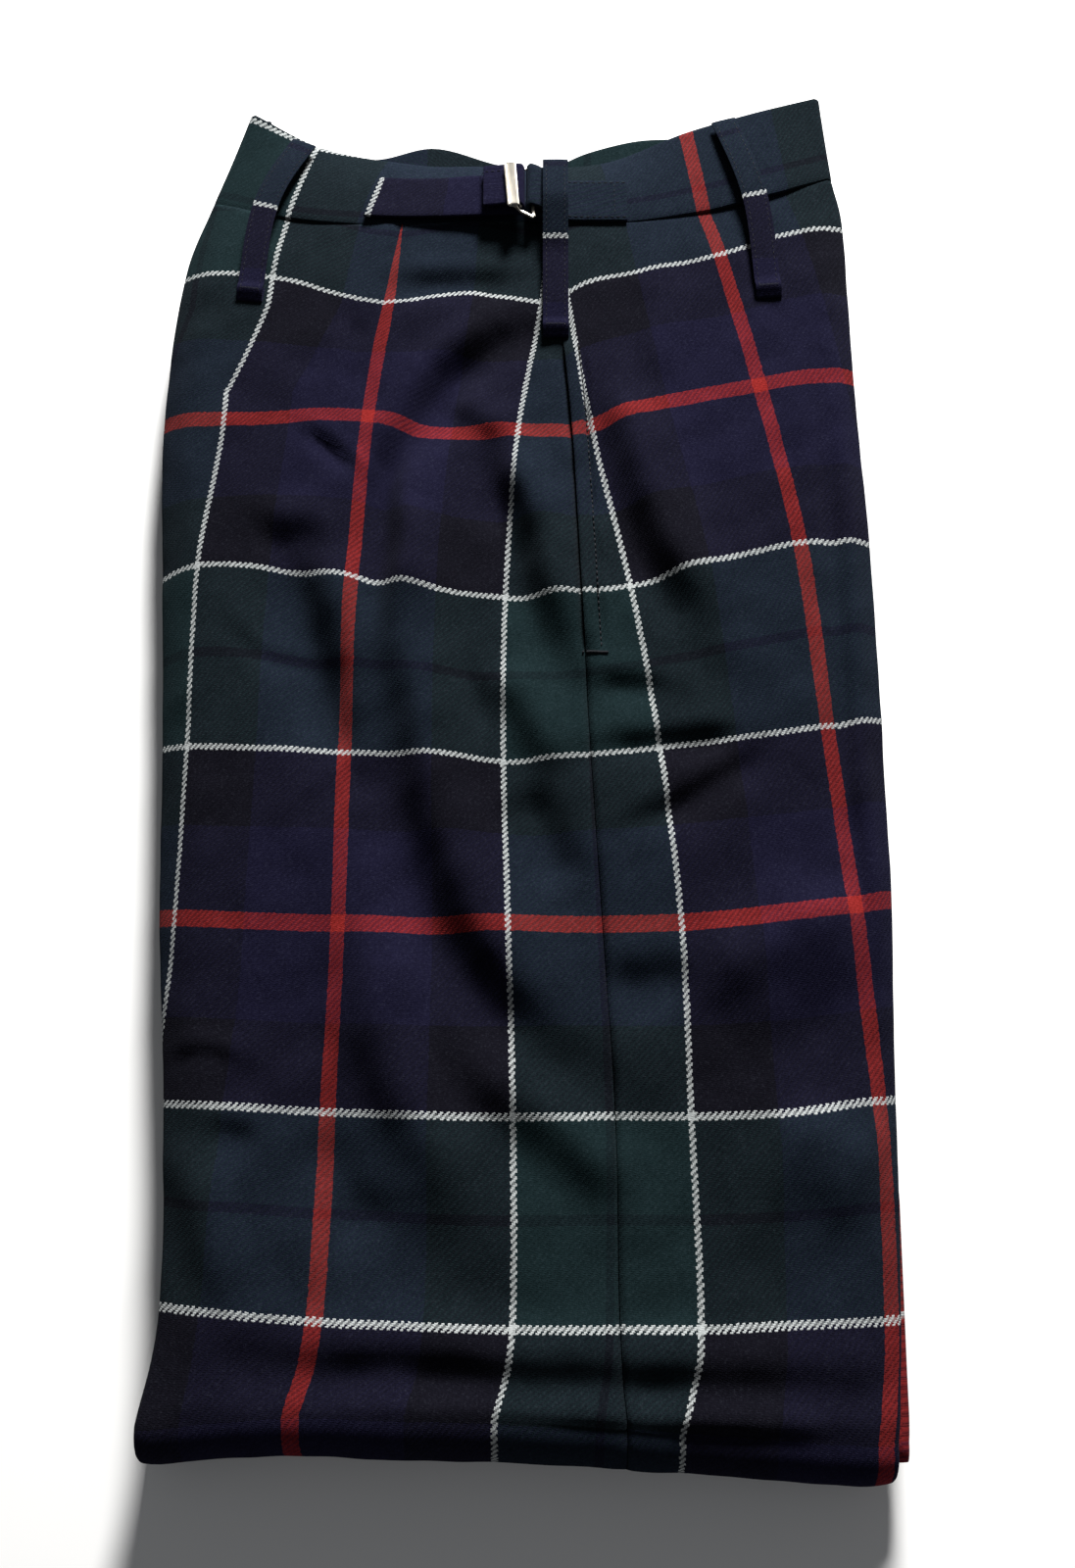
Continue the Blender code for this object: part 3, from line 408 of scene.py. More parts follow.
def tartan(name, looks):
    """The woollen cloth: one thread count both ways, woven as a two-and-two twill.

    The UV map holds millimetres of cloth. The count mirrors about each red line, so a thread's colour
    depends on its distance from the nearest one.
    """
    wool = Shader(name, Roughness=0.88, Sheen_Weight=looks.nap, Sheen_Roughness=0.55,
                  Sheen_Tint=(0.62, 0.66, 0.75, 1.0), Specular_IOR_Level=0.0)
    flat = wool.node("ShaderNodeUVMap", settings={"uv_map": "cloth"})
    wander = wool.node("ShaderNodeTexNoise", out=1, settings={"noise_dimensions": "2D"}, Vector=flat,
                       Scale=0.35, Detail=3.0, Roughness=0.7)
    place = wool.node("ShaderNodeVectorMath", settings={"operation": "MULTIPLY_ADD"}, i0=wander,
                      i1=(looks.wander / MM, looks.wander / MM, 0.0), i2=flat)
    across_u = wool.node("ShaderNodeSeparateXYZ", i0=place)
    along_v = Value(wool.tree, across_u.socket.node.outputs[1])
    thread = looks.thread / MM
    warp_thread, weft_thread = (along / thread for along in (across_u, along_v))
    warp_number, weft_number = warp_thread.math("FLOOR"), weft_thread.math("FLOOR")
    float_on_top = (warp_number + weft_number).math("FLOORED_MODULO", 4.0) < 1.5

    repeat = 3 * LINE_SPACING
    half = repeat / 2
    from_reds = [(((number + 0.5) * thread - 2 * LINE_SPACING + half).math("FLOORED_MODULO", repeat) - half)
                 .math("ABSOLUTE") for number in (warp_number, weft_number)]

    def ground_colour(from_red, red_width):
        fine = looks.fine_line / MM / 2
        count = (
            (0.0, looks.red),
            (red_width / MM / 2, looks.blue),
            (looks.blue_width / MM, looks.black),
            (LINE_SPACING, looks.green),
            (half - fine, looks.fine_dye),
        )
        stops = [(distance / half, tuple(dye)) for distance, dye in count]
        return wool.node("ShaderNodeValToRGB", stops=stops, Fac=from_red / half)

    def white_share(from_red, on_top):
        """How white a place is: a white float on top shows past the line's edges, one beneath shows less."""
        reach = on_top * (2 * WHITE_JAG) + (looks.white_line / MM / 2 - WHITE_JAG)
        on_line = (from_red - LINE_SPACING).math("ABSOLUTE") < reach
        return on_line * (on_top * (1.0 - 2.0 * WHITE_BLEND) + WHITE_BLEND)

    showing = float_on_top * (1.0 - 2.0 * looks.blend) + looks.blend
    warp_red, weft_red = from_reds
    weft_colour = ground_colour(weft_red, looks.red_weft)
    warp_colour = ground_colour(warp_red, looks.red_warp)
    ground = wool.mix(showing, weft_colour, warp_colour)
    white_weft = white_share(weft_red, 1.0 - float_on_top)
    whiteness = white_share(warp_red, float_on_top).math("MAXIMUM", white_weft)
    woven = wool.mix(whiteness, ground, colour(looks.white))
    mottle, fibre = wool.noise(140.0, 3.0, 0.6), wool.noise(950.0, 3.0, 0.75)
    lightness = (mottle - 0.5) * looks.mottling + (fibre - 0.5) * looks.heather + 1.0
    toned = wool.node("ShaderNodeHueSaturation", Saturation=1.0, Value=lightness, Color=woven)
    pale = (fibre - FIBRE_FROM).math("MULTIPLY", FIBRE_GAIN).math("MINIMUM", 1.0).math("MAXIMUM", 0.0)
    wool.feed("Base Color", wool.mix(pale * looks.stray_fibre, toned, colour(looks.fibre)))
    warp_round = (warp_thread.math("FRACT") * 2.0 - 1.0).math("POWER", 2.0)
    weft_round = (weft_thread.math("FRACT") * 2.0 - 1.0).math("POWER", 2.0)
    sides = warp_round * float_on_top + weft_round * (1.0 - float_on_top)
    height = 1.0 - sides * THREAD_ROUND + fibre * FIBRE_HEIGHT
    wool.feed_bump(looks.weave_relief, 0.00022, height)
    return wool.material


def thread_material(name, dye):
    """Dark sewing thread: the twist of its plies in its relief, and a painted highlight along each ply's
    crest.
    """
    thread = Shader(name, Roughness=0.7, Specular_IOR_Level=0.1)
    twist_and_highlight = thread.node("ShaderNodeTexWave", out=1, settings={"bands_direction": "DIAGONAL"},
                        Vector=thread.at_object, Scale=900.0, Distortion=1.5, Detail=1.0)
    # Painted highlight: the thread is lighter where the twist raises each ply's crest.
    thread.feed("Base Color", thread.mix(twist_and_highlight * 0.5, colour(dye), colour([c * 2.2 + 0.004 for c in dye])))
    thread.feed_bump(0.4, 0.0001, twist_and_highlight)
    return thread.material


def plated_metal(name, metal, polish):
    """Satin plate with fine drawn lines and a little wear."""
    plate = Shader(name, Metallic=1.0)
    drawn = plate.node("ShaderNodeMapping", Vector=plate.at_object, Scale=(900.0, 60.0, 900.0))
    lines, wear = plate.noise(1.0, 3.0, place=drawn), plate.noise(260.0, 4.0, 0.65)
    plate.feed("Base Color", plate.mix(wear * 0.5, colour(metal), colour([c * 0.72 for c in metal])))
    plate.feed("Roughness", wear * 0.25 + lines * 0.15 + (polish - 0.2))
    plate.feed_bump(0.15, 0.0001, lines)
    return plate.material


def floor_paper(name, tone):
    """Plain pale paper with the faintest unevenness."""
    paper = Shader(name, Roughness=0.9)
    paper.feed("Base Color", paper.mix(paper.noise(6.0, 2.0), colour(tone),
                                       colour([c * 0.985 for c in tone])))
    return paper.material


def smooth_through(knots, values, at):
    """A smooth curve through values, one row for each knot, read at the places `at`."""
    knots, values, at = (np.asarray(a, float) for a in (knots, values, at))
    slope = np.gradient(values, knots, axis=0)
    i = np.clip(np.searchsorted(knots, at) - 1, 0, len(knots) - 2)
    step = knots[i + 1] - knots[i]
    shape = (-1,) + (1,) * (values.ndim - 1)
    t = ((at - knots[i]) / step).reshape(shape)
    step = step.reshape(shape)
    return ((2 * t**3 - 3 * t**2 + 1) * values[i] + (t**3 - 2 * t**2 + t) * step * slope[i]
            + (3 * t**2 - 2 * t**3) * values[i + 1] + (t**3 - t**2) * step * slope[i + 1])


def lengths_along(points):
    """How far along a line each of its points lies."""
    return np.concatenate([[0], np.cumsum(np.linalg.norm(np.diff(points, axis=0), axis=1))])


def bell(away, width):
    """1 on a line, and next to nothing twice the width away from it."""
    return np.exp(-(away / width) ** 2)


def soft_step(share):
    """From 0 to 1, level at both ends."""
    share = np.clip(share, 0, 1)
    return share**2 * (3 - 2 * share)


def unevenness(x, y):
    """The slight unevenness of worn wool: waves of random lengths that run all ways."""
    dice = np.random.default_rng(SEED)
    total = np.zeros(np.shape(x))
    for _ in range(UNEVEN_WAVES):
        way = dice.uniform(0, math.pi)
        length = dice.uniform(*UNEVEN_LENGTHS)
        start = dice.uniform(0, 2 * math.pi)
        across = x * math.cos(way) + y * math.sin(way)
        total += UNEVEN * length * np.sin(across * 2 * math.pi / length + start)
    return total


def relief(x, y):
    """How far the soft folds raise or lower the cloth at places in plan."""
    total = unevenness(x, y)
    for fold in FOLDS.values():
        path = np.array(fold.path, float)
        run = lengths_along(path)
        path = smooth_through(run, path, np.linspace(0, run[-1], FOLD_PIECES + 1)) if len(path) > 2 else path
        away, side, along = (np.full(total.shape, value) for value in (1e9, 0.0, 0.0))
        for number, (start, end) in enumerate(zip(path, path[1:])):
            way = end - start
            share = np.clip(((x - start[0]) * way[0] + (y - start[1]) * way[1]) / (way @ way), 0, 1)
            off_x, off_y = x - start[0] - share * way[0], y - start[1] - share * way[1]
            distance = np.hypot(off_x, off_y)
            turned = (way[0] * off_y - way[1] * off_x) / (np.hypot(*way) * np.maximum(distance, 1e-6))
            nearer = distance < away
            away = np.where(nearer, distance, away)
            side = np.where(nearer, turned, side)
            along = np.where(nearer, (number + share) / (len(path) - 1), along)
        fades_over = (fold.left + fold.right) / 2 + (fold.left - fold.right) / 2 * side
        strength = FOLD_END + (1 - FOLD_END) * soft_step(np.minimum(along, 1 - along) / FOLD_FADE)
        reach = (away / fades_over) ** 2
        total += fold.height * strength * (1 - UNDERCUT * np.clip(-side, 0, 1) * reach) * np.exp(-reach)
    return total


def row_marks(rows, line_u):
    """Marks of a panel as an array of rows, columns and (x, y, u, v), with each row's two heights."""
    marks, heights = [], []
    for row in rows:
        places = (row.side, row.line, row.middle, row.next_line, row.outer, row.crease)
        us = (row.side[2], 0.0, line_u / 2, row.next_line[2], row.outer[2], row.crease[2])
        vs = row.v if isinstance(row.v, tuple) else (row.v,) * len(places)
        marks.append([(place[0], place[1], u, v) for place, u, v in zip(places, us, vs)])
        heights.append((row.flat_z, row.edge_z))
    knots = np.arange(len(rows))
    at = [np.arange(row.steps) / row.steps + i for i, row in enumerate(rows[:-1])]
    at = np.concatenate([*at, knots[-1:]])
    return smooth_through(knots, marks, at), smooth_through(knots, heights, at)


def spread(marks, steps, trim_start, trim_end):
    """Points along the curve through marks, with a fixed count of them between two marks."""
    run = lengths_along(marks[:, :2])
    places = [np.linspace(a, b, n + 1)[:-1] for a, b, n in zip(run, run[1:], steps)]
    places = np.concatenate([*places, run[-1:]])
    places = trim_start + places * (run[-1] - trim_start - trim_end) / run[-1]
    return smooth_through(run, marks, places)


def crease_turn(points, cloth, normal, side, tilt=0.0):
    """Adds the cloth that turns over at a crease and runs back inside, with its place on the cloth."""
    outward = np.array([side, 0.0, 0.0])

    def around(angle):
        return CREASE * (outward * math.sin(angle) + normal * math.cos(angle))

    centre = points[-1] - around(tilt)
    angles = np.linspace(tilt, math.pi, TURN_STEPS + 1)[1:]
    turned = [centre + around(a) for a in angles]
    way = np.sign(cloth[-1][0] - cloth[-2][0])
    reach = [(a - tilt) * CREASE for a in angles]
    for share in (0.5, 1.0):
        turned.append(turned[TURN_STEPS - 1] - outward * TURNED_IN * share)
        reach.append(reach[TURN_STEPS - 1] + TURNED_IN * share)
    beside = [(cloth[-1][0] + way * r, cloth[-1][1]) for r in reach]
    return np.vstack([points, turned]), np.vstack([cloth, beside])


def pocket_span(y):
    """1 along the pocket's mouth and 0 past its ends."""
    return np.clip((POCKET_TOP_Y - y) / POCKET_END, 0, 1) * np.clip((y - POCKET_FOOT_Y) / POCKET_END, 0, 1)


def pocket_edge(y, beside, on_front):
    """The pocket's mouth: the front's edge stands up as a stitched lip, and the back's edge lies under it."""
    between = pocket_span(y)
    if not on_front:
        return -POCKET_DROP * between * bell(beside, POCKET_DROP_WIDTH)
    lip = POCKET_LIP * np.clip(1 - (beside / POCKET_LIP_WIDTH) ** 2, 0, 1)
    return (lip - POCKET_GROOVE * bell(beside - POCKET_STITCH_IN, POCKET_GROOVE_WIDTH)) * between


def dart_relief(px, py):
    """The dart's seam line, with the cloth rounding up on both sides of it."""
    y, x, taken = np.array(DART, float).T
    strength = np.interp(py, y, taken, left=0.0) / taken.max()
    away = px - np.interp(py, y, x)
    (depth, narrow), (height, wide) = DART_SEAM, DART_SWELL
    return strength * (height * bell(away + DART_SWELL_IN, wide) - depth * bell(away, narrow))


def lies(marks, heights, steps):
    """Where a panel's top lies before its folds: rows of points, their cloth, and the tilt at the crease."""
    flat_z, edge_z = heights[:, :1], heights[:, 1:]
    tilts = np.arctan(DROP_POWER * (flat_z - edge_z) / EDGE_DROP)[:, 0]
    lines = np.array([spread(row, steps, GAP / 2, CREASE * (1 - math.sin(tilt)))
                      for row, tilt in zip(marks, tilts)])
    from_crease = np.abs(lines[:, :, 0] - marks[:, -1:, 0])
    z = flat_z - (flat_z - edge_z) * np.clip(1 - from_crease / EDGE_DROP, 0, 1) ** DROP_POWER
    return np.dstack([lines[:, :, :2], z]), lines[:, :, 2:], tilts


def from_seam(count, steps):
    """How much of the folds shows at each row: little at the waistband's seam, all of it further on."""
    return (AT_SEAM + (1 - AT_SEAM) * np.clip(np.arange(count) / steps, 0, 1))[:, None]


def panel_grid(rows, side, hem):
    """Sections of a panel (points, cloth): over the top, round the fold, and on the underside to the hem."""
    marks, heights = row_marks(rows, side * LINE_SPACING)
    points, cloth, tilts = lies(marks, heights, COLUMN_STEPS)
    x, y = points[:, :, 0].copy(), points[:, :, 1].copy()
    beside_seam = np.abs(x - x[:, :1])
    points[:, :, 2] += from_seam(len(points), rows[0].steps) * relief(x, y)
    points[:, :, 2] += pocket_edge(y, beside_seam, side > 0)
    points[:, :, 0] += side * POCKET_GAPE * pocket_span(y) * bell(beside_seam, POCKET_GAPE_WIDTH)
    if side < 0:
        points[:, :, 2] += dart_relief(x, y)
    points[:, :, 2] -= SEAM_SINKS * bell(beside_seam, SEAM_REACH)
    points[:, :, 2] -= TOP_SINKS * bell(np.arange(len(points))[:, None], SEAM_REACH)
    top = list(zip(points, cloth))
    top[0][0][:, 1] -= GAP / 2
    sections = [(*pair, UP, tilt) for pair, tilt in zip(top, tilts)]
    start, cloth = top[-1]
    radius = start[:, 2] / 2
    for angle in np.linspace(0, math.pi, FOLD_STEPS + 1)[1:]:
        points = start.copy()
        points[:, 1] -= radius * math.sin(angle)
        points[:, 2] = radius * (1 + math.cos(angle))
        round_fold = cloth + np.column_stack([np.zeros(len(cloth)), radius * angle])
        normal = np.array([0.0, -math.sin(angle), math.cos(angle)])
        sections.append((points, round_fold, normal, tilts[-1] * (1 - angle / math.pi)))
    flat, flat_cloth = sections[-1][:2]
    flat = flat.copy()
    flat[:, 2] = 0.0
    hem_x = np.linspace(hem.side_x + side * GAP / 2, hem.crease_x - side * CREASE, len(flat))
    last = np.column_stack([hem_x, np.full(len(flat), HEM_Y), np.zeros(len(flat))])
    last_cloth = np.column_stack([np.linspace(hem.side_u, hem.crease_u, len(flat)),
                                  flat_cloth[:, 1] + HEM_Y - flat[:, 1]])
    for share in np.linspace(0, 1, UNDERSIDE_STEPS + 1)[1:]:
        points, beside = flat + (last - flat) * share, flat_cloth + (last_cloth - flat_cloth) * share
        sections.append((points, beside, -UP, 0.0))
    return [crease_turn(points, beside, normal, side, tilt) for points, beside, normal, tilt in sections]


def new_object(name, points, faces, material):
    """A smooth mesh object from laid millimetres, in the frame's metres."""
    mesh = bpy.data.meshes.new(name)
    mesh.from_pydata([tuple(p) for p in laid(points)], [], faces)
    mesh.update()
    mesh.shade_smooth()
    mesh.materials.append(material)
    piece = bpy.data.objects.new(name, mesh)
    bpy.context.scene.collection.objects.link(piece)
    return piece


def grid_faces(rows, columns, flip):
    """Four-sided faces between the points of a grid."""
    faces = []
    for i in range(rows - 1):
        for j in range(columns - 1):
            a, b = i * columns + j, i * columns + j + 1
            face = (a, a + columns, b + columns, b)
            faces.append(face[::-1] if flip else face)
    return faces


def map_cloth(piece, cloth, offset=0.0):
    """Writes the UV map of a piece from its points' places on the cloth, in millimetres."""
    layer = piece.data.uv_layers.new(name="cloth")
    corner = np.empty(len(piece.data.loops), int)
    piece.data.loops.foreach_get("vertex_index", corner)
    layer.data.foreach_set("uv", (np.asarray(cloth, float)[corner] + np.array([offset, 0.0])).ravel())


def give_wall(piece, wall, rounded=0.0):
    """Gives an open sheet its thickness on its inner side, and rounds its edges if asked."""
    thick = piece.modifiers.new("wall", "SOLIDIFY")
    thick.thickness = wall * MM
    thick.offset = -1.0
    thick.use_even_offset = True
    thick.use_quality_normals = True
    if rounded:
        soft = piece.modifiers.new("edges", "BEVEL")
        soft.width = rounded * MM
        soft.segments = 3
        soft.limit_method = "ANGLE"
        soft.angle_limit = math.radians(50)


def settle(piece, node):
    """The piece stands for a node: it rides with the body, and the node's own solid is hidden."""
    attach(piece, "root")
    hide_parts(node)
    made[piece.name] = piece


def sheet(name, node, sections, wall, flip=False, offset=0.0, rounded=0.0):
    """The cloth piece that stands for a node, through sections of (points, places on the cloth)."""
    rows, columns = len(sections), len(sections[0][0])
    points = np.vstack([section[0] for section in sections])
    piece = new_object(name, points, grid_faces(rows, columns, flip), made["wool"])
    map_cloth(piece, np.vstack([section[1] for section in sections]), offset)
    give_wall(piece, wall, rounded)
    settle(piece, node)


def cut_area(sections):
    """The area of a sheet in square metres, from its own mesh."""
    points = laid(np.array([section[0] for section in sections]))
    down, over = np.diff(points, axis=0)[:, :-1], np.diff(points, axis=1)[:-1]
    return float(np.linalg.norm(np.cross(down, over), axis=2).sum())


def cloth_settings():
    """The sizes and dyes that a user can change."""
    return bpy.context.scene.trews_cloth


def make_panels():
    """The right back and the right front, each from the waist over the fold to the hem."""
    made["wool"] = tartan("tartan_wool", cloth_settings())
    for name, side, rows, hem in (("back", -1, BACK_ROWS, BACK_HEM), ("front", 1, FRONT_ROWS, FRONT_HEM)):
        cut = panel_grid(rows, side, hem)
        sheet("right_" + name, name + "_panel", cut, CLOTH, flip=side < 0, offset=cloth_offset(side))
        made[name + "_area"] = cut_area(cut)
    shift_past_dart(made["right_back"])


def cloth_offset(side):
    """The front's cloth is counted from the line behind it, and the back's from its own."""
    return LINE_SPACING if side > 0 else 0.0


def shift_past_dart(piece):
    """Left of the dart, the cloth's places move on by what the dart takes in."""
    mesh = piece.data
    points = np.array([v.co for v in mesh.vertices]) / MM + np.array([*CENTRE, 0.0])
    y, x, taken = np.array(DART, float).T
    layer = mesh.uv_layers["cloth"].data
    for face in mesh.polygons:
        middle = points[list(face.vertices)].mean(axis=0)
        if middle[1] > y[0] and middle[2] > TOP_SIDE_Z and middle[0] < np.interp(middle[1], y, x):
            for corner in face.loop_indices:
                at_y = points[mesh.loops[corner].vertex_index][1]
                layer[corner].uv.x -= np.interp(at_y, y, taken)


def band_sections(band):
    """The waistband's face from its seam up to its top edge, which rolls over to the inside."""
    low, high = np.array(band.seam, float), np.array(band.top, float)
    high_cloth, low_cloth = (np.column_stack([band.u[i], band.v[i]]) for i in (0, 1))
    sections = []
    for share in np.linspace(0, 1, BAND_STEPS):
        marks = low + (high - low) * share
        marks[:, 2] = low[:, 2] + (high[:, 2] - low[:, 2]) * share ** BAND_ROLL
        cloth = low_cloth + (high_cloth - low_cloth) * share
        line = spread(np.column_stack([marks, cloth]), BAND_COLUMN_STEPS, GAP / 2, CREASE)
        points = line[:, :3]
        points[:, 2] += AT_SEAM * (1 - share) * relief(points[:, 0], points[:, 1]) + BAND_RISE
        points[:, 2] += band_ripple(points[:, 0], share)
        points[:, 2] -= BAND_SEAM * bell(share, BAND_SEAM_SHARE)
        if share == 0:
            points[:, 1] -= BAND_LAP
        sections.append(crease_turn(points, line[:, 3:], UP, band.side))
    return sections


def band_ripple(x, share):
    """Shallow puckers where the drawn strap gathers the waistband."""
    return BAND_PUCKER * bell(x - PUCKERS_AT, PUCKERS_REACH) * share * np.sin(x / PUCKER_LENGTH)


def make_waistband():
    """The right waistband's two halves, and the inside of the left one above them."""
    for name, band in BANDS.items():
        sheet("right_band_" + name, "waistband_" + name, band_sections(band), BAND_CLOTH, flip=band.side > 0,
              offset=cloth_offset(band.side), rounded=BAND_ROUNDED)
    low, high = np.array(FAR_BAND_SEAM, float), np.array(FAR_BAND_TOP, float)
    far = []
    for share in np.linspace(0, 1, BAND_STEPS):
        marks = low + (high - low) * share
        u = FAR_BAND_U - marks[:, 0] * FAR_BAND_U_SHARE
        v = np.full(len(marks), FAR_BAND_DEPTH * (1 - share) + FAR_BAND_V)
        line = spread(np.column_stack([marks, u, v]), FAR_BAND_COLUMN_STEPS, 0.0, 0.0)
        far.append((line[:, :3], line[:, 3:]))
    sheet("left_band", "waistband_left", far, BAND_CLOTH, rounded=BAND_ROUNDED)


def leg_creases(top_z, edge_top, edge_foot, y, side, peek):
    """One side of the hidden layers: the left leg's upper crease over its lower one, both rounded."""
    low = 2 * CREASE + GAP + LEG_GAP
    middle = top_z / 2
    half = (middle - low) / 2
    profile = [(edge_top, -HIDDEN_IN, top_z - low)]
    for edge, centre, lower in ((edge_top, middle + half, False), (edge_foot, middle - half, True)):
        for angle in np.linspace(0, math.pi, CREASE_POINTS):
            out = peek - CREASE_ROUND * (1 - math.sin(angle)) ** CREASE_SHARPNESS
            faces_other = (angle > math.pi / 2) != lower
            pressed = CREASE_PRESSED if faces_other else 1.0
            profile.append((edge, out, centre + half * pressed * math.cos(angle)))
        if not lower:
            profile.append(((edge_top + edge_foot) / 2, peek - CLEFT_IN, middle))
    profile.append((edge_foot, -HIDDEN_IN, low))
    return [(edge + side * out, y, z) for edge, out, z in profile]


def make_inner_layers():
    """The left leg, the inner sides and the turned-in cloth, as one soft body layered at its edges."""
    halves = [row_marks(rows, side * LINE_SPACING) for rows, side in ((BACK_ROWS, -1), (FRONT_ROWS, 1))]
    (back_marks, back_z), (front_marks, front_z) = halves
    tops = [lies(*half, HIDDEN_STEPS)[:2] for half in halves]
    leg_y, leg_x = np.array(LEFT_LEG_EDGE, float).T
    sections, cloths = [], []
    turns = [0.0] * (len(back_marks) - 1) + list(np.radians(np.linspace(0, FOLD_TURN, FOLD_TURNS)))
    for number, angle in enumerate(turns):
        row = min(number, len(back_marks) - 1)
        if angle == 0 and row % 2 and row != len(back_marks) - 1:
            continue
        back, front = back_marks[row], front_marks[row]
        top = [np.column_stack([points[row], cloth[row]])[:-1] for points, cloth in tops]
        top = np.vstack([top[0][::-1], top[1][1:]])
        seen = AT_SEAM + (1 - AT_SEAM) * min(1.0, row / BACK_ROWS[0].steps)
        outer_z = top[:, 2] + seen * relief(top[:, 0], top[:, 1])
        top_points = np.column_stack([top[:, :2], outer_z - UNDER_WALL])
        edge_back, edge_front = back[-1], front[-1]
        from_fold = float(np.clip((top[:, 1].mean() - FOLD_Y) / (HEM_Y - FOLD_Y), 0, 1))
        foot_back, foot_front = (at_fold + (hem.crease_x - at_fold) * from_fold
                                 for at_fold, hem in zip(CREASES_AT_FOLD, (BACK_HEM, FRONT_HEM)))
        peek = float(np.interp(edge_front[1], leg_y, leg_x - edge_front[0], right=HIDDEN_PEEK))
        front_side = leg_creases(front_z[row][1], edge_front[0], foot_front, edge_front[1], 1, peek)
        back_side = leg_creases(back_z[row][1], edge_back[0], foot_back, edge_back[1], -1, HIDDEN_PEEK)
        floor_x = np.linspace(foot_front - FLOOR_IN, foot_back + FLOOR_IN, FLOOR_POINTS)
        floor = [(x, np.interp(x, top[:, 0], top[:, 1]), UNDER_WALL) for x in floor_x]
        loop = np.array([*top_points, *front_side, *floor, *back_side[::-1]])
        middle = np.interp(loop[:, 0], top[:, 0], outer_z) / 2
        reach = middle - UNDER_WALL
        count = len(front_side)
        at_front, at_back = slice(len(top), len(top) + count), slice(-count, None)
        for at, z in ((at_front, front_z[row][1]), (at_back, back_z[row][1])):
            middle[at] = z / 2
            reach[at] = z / 2 - 2 * CREASE - GAP - LEG_GAP
        v = np.interp(loop[:, 0], top[:, 0], top[:, 4])
        u = np.interp(loop[:, 0], [edge_back[0], back[0][0], front[0][0] + SEAM_JUMP, edge_front[0]],
                      [edge_back[2], back[0][2], front[0][2] + LINE_SPACING,
                       edge_front[2] + LINE_SPACING - LEFT_LEG_SHIFT])
        if angle:
            loop[:, 1] -= reach * math.sin(angle)
            loop[:, 2] = middle + (loop[:, 2] - middle) * math.cos(angle)
            v = v + reach * angle
        sections.append(loop)
        cloths.append(np.column_stack([u, v]))
    seam_x, seam_y, seam_z = np.array(FAR_BAND_SEAM, float).T
    waist_end = sections[0].copy()
    waist_end[:, 0] = np.clip(waist_end[:, 0], seam_x[0], seam_x[-1])
    waist_end[:, 1] = np.interp(waist_end[:, 0], seam_x, seam_y) - 3 * GAP
    level = waist_end[:, 2] - waist_end[:, 2].mean()
    waist_end[:, 2] = np.interp(waist_end[:, 0], seam_x, seam_z) + BAND_CLOTH / 2 + WAIST_END_FLAT * level
    sections[0][:, 1] -= WAIST_END_IN
    sections.insert(0, waist_end)
    cloths.insert(0, cloths[0] - np.array([0.0, WAIST_END_V]))
    clefts = (len(top) + count // 2, len(waist_end) - 1 - count // 2)
    piece = new_object("hidden_layers", np.vstack(sections), closed_faces(sections, clefts), made["wool"])
    map_cloth(piece, np.vstack(cloths))
    settle(piece, "inner_layers")


def closed_faces(sections, clefts):
    """Faces round closed sections of like points, with each end closed from one cleft to the other."""
    columns, rows = len(sections[0]), len(sections)
    points = np.vstack(sections)
    faces = []
    for i in range(rows - 1):
        for j in range(columns):
            k = (j + 1) % columns
            faces.append((i * columns + j, (i + 1) * columns + j, (i + 1) * columns + k, i * columns + k))
    for first, turned in ((0, False), ((rows - 1) * columns, True)):
        loop = list(range(first, first + columns))
        cap = zipped(points, loop[clefts[0]:clefts[1] + 1], (loop[clefts[1]:] + loop[:clefts[0] + 1])[::-1])
        faces += cap if turned else [face[::-1] for face in cap]
    return faces


def zipped(points, chain, other):
    """Triangles between two chains of point numbers, each step taking the shorter diagonal."""
    faces, i, j = [], 0, 0
    while i < len(chain) - 1 or j < len(other) - 1:
        step_chain = step_other = math.inf
        if i < len(chain) - 1:
            step_chain = np.linalg.norm(points[chain[i + 1]] - points[other[j]])
        if j < len(other) - 1:
            step_other = np.linalg.norm(points[chain[i]] - points[other[j + 1]])
        if step_chain <= step_other:
            faces.append((chain[i], other[j], chain[i + 1]))
            i += 1
        else:
            faces.append((chain[i], other[j], other[j + 1]))
            j += 1
    return [face for face in faces if len(set(face)) == 3]


class Bed:
    """The outer faces of finished pieces, read from above."""

    def __init__(self, *names):
        self.trees = []
        for mesh in (made[name].data for name in names):
            points = [v.co for v in mesh.vertices]
            self.trees.append(BVHTree.FromPolygons(points, [tuple(face.vertices) for face in mesh.polygons]))

    def height(self, x, y):
        """Height in laid millimetres of what lies highest at a place, or 0 where nothing does."""
        place = Vector(laid([(x, y, 120.0)])[0])
        hits = [tree.ray_cast(place, Vector((0, 0, -1)))[0] for tree in self.trees]
        return max([hit.z / MM for hit in hits if hit is not None] or [0.0])


def ribbon(path, cloth, half_width, directions):
    """Sections of a flat strip along a path, its edges a little lower than its middle."""
    sections = []
    offs = np.linspace(-1, 1, LOOP_COLUMNS)
    for point, direction, along in zip(path, directions, cloth):
        points = [point + direction * half_width * off - UP * LOOP_CROWN * off**4 for off in offs]
        beside = [(along[0] + off * half_width, along[1]) for off in offs]
        sections.append((np.array(points), np.array(beside)))
    return sections


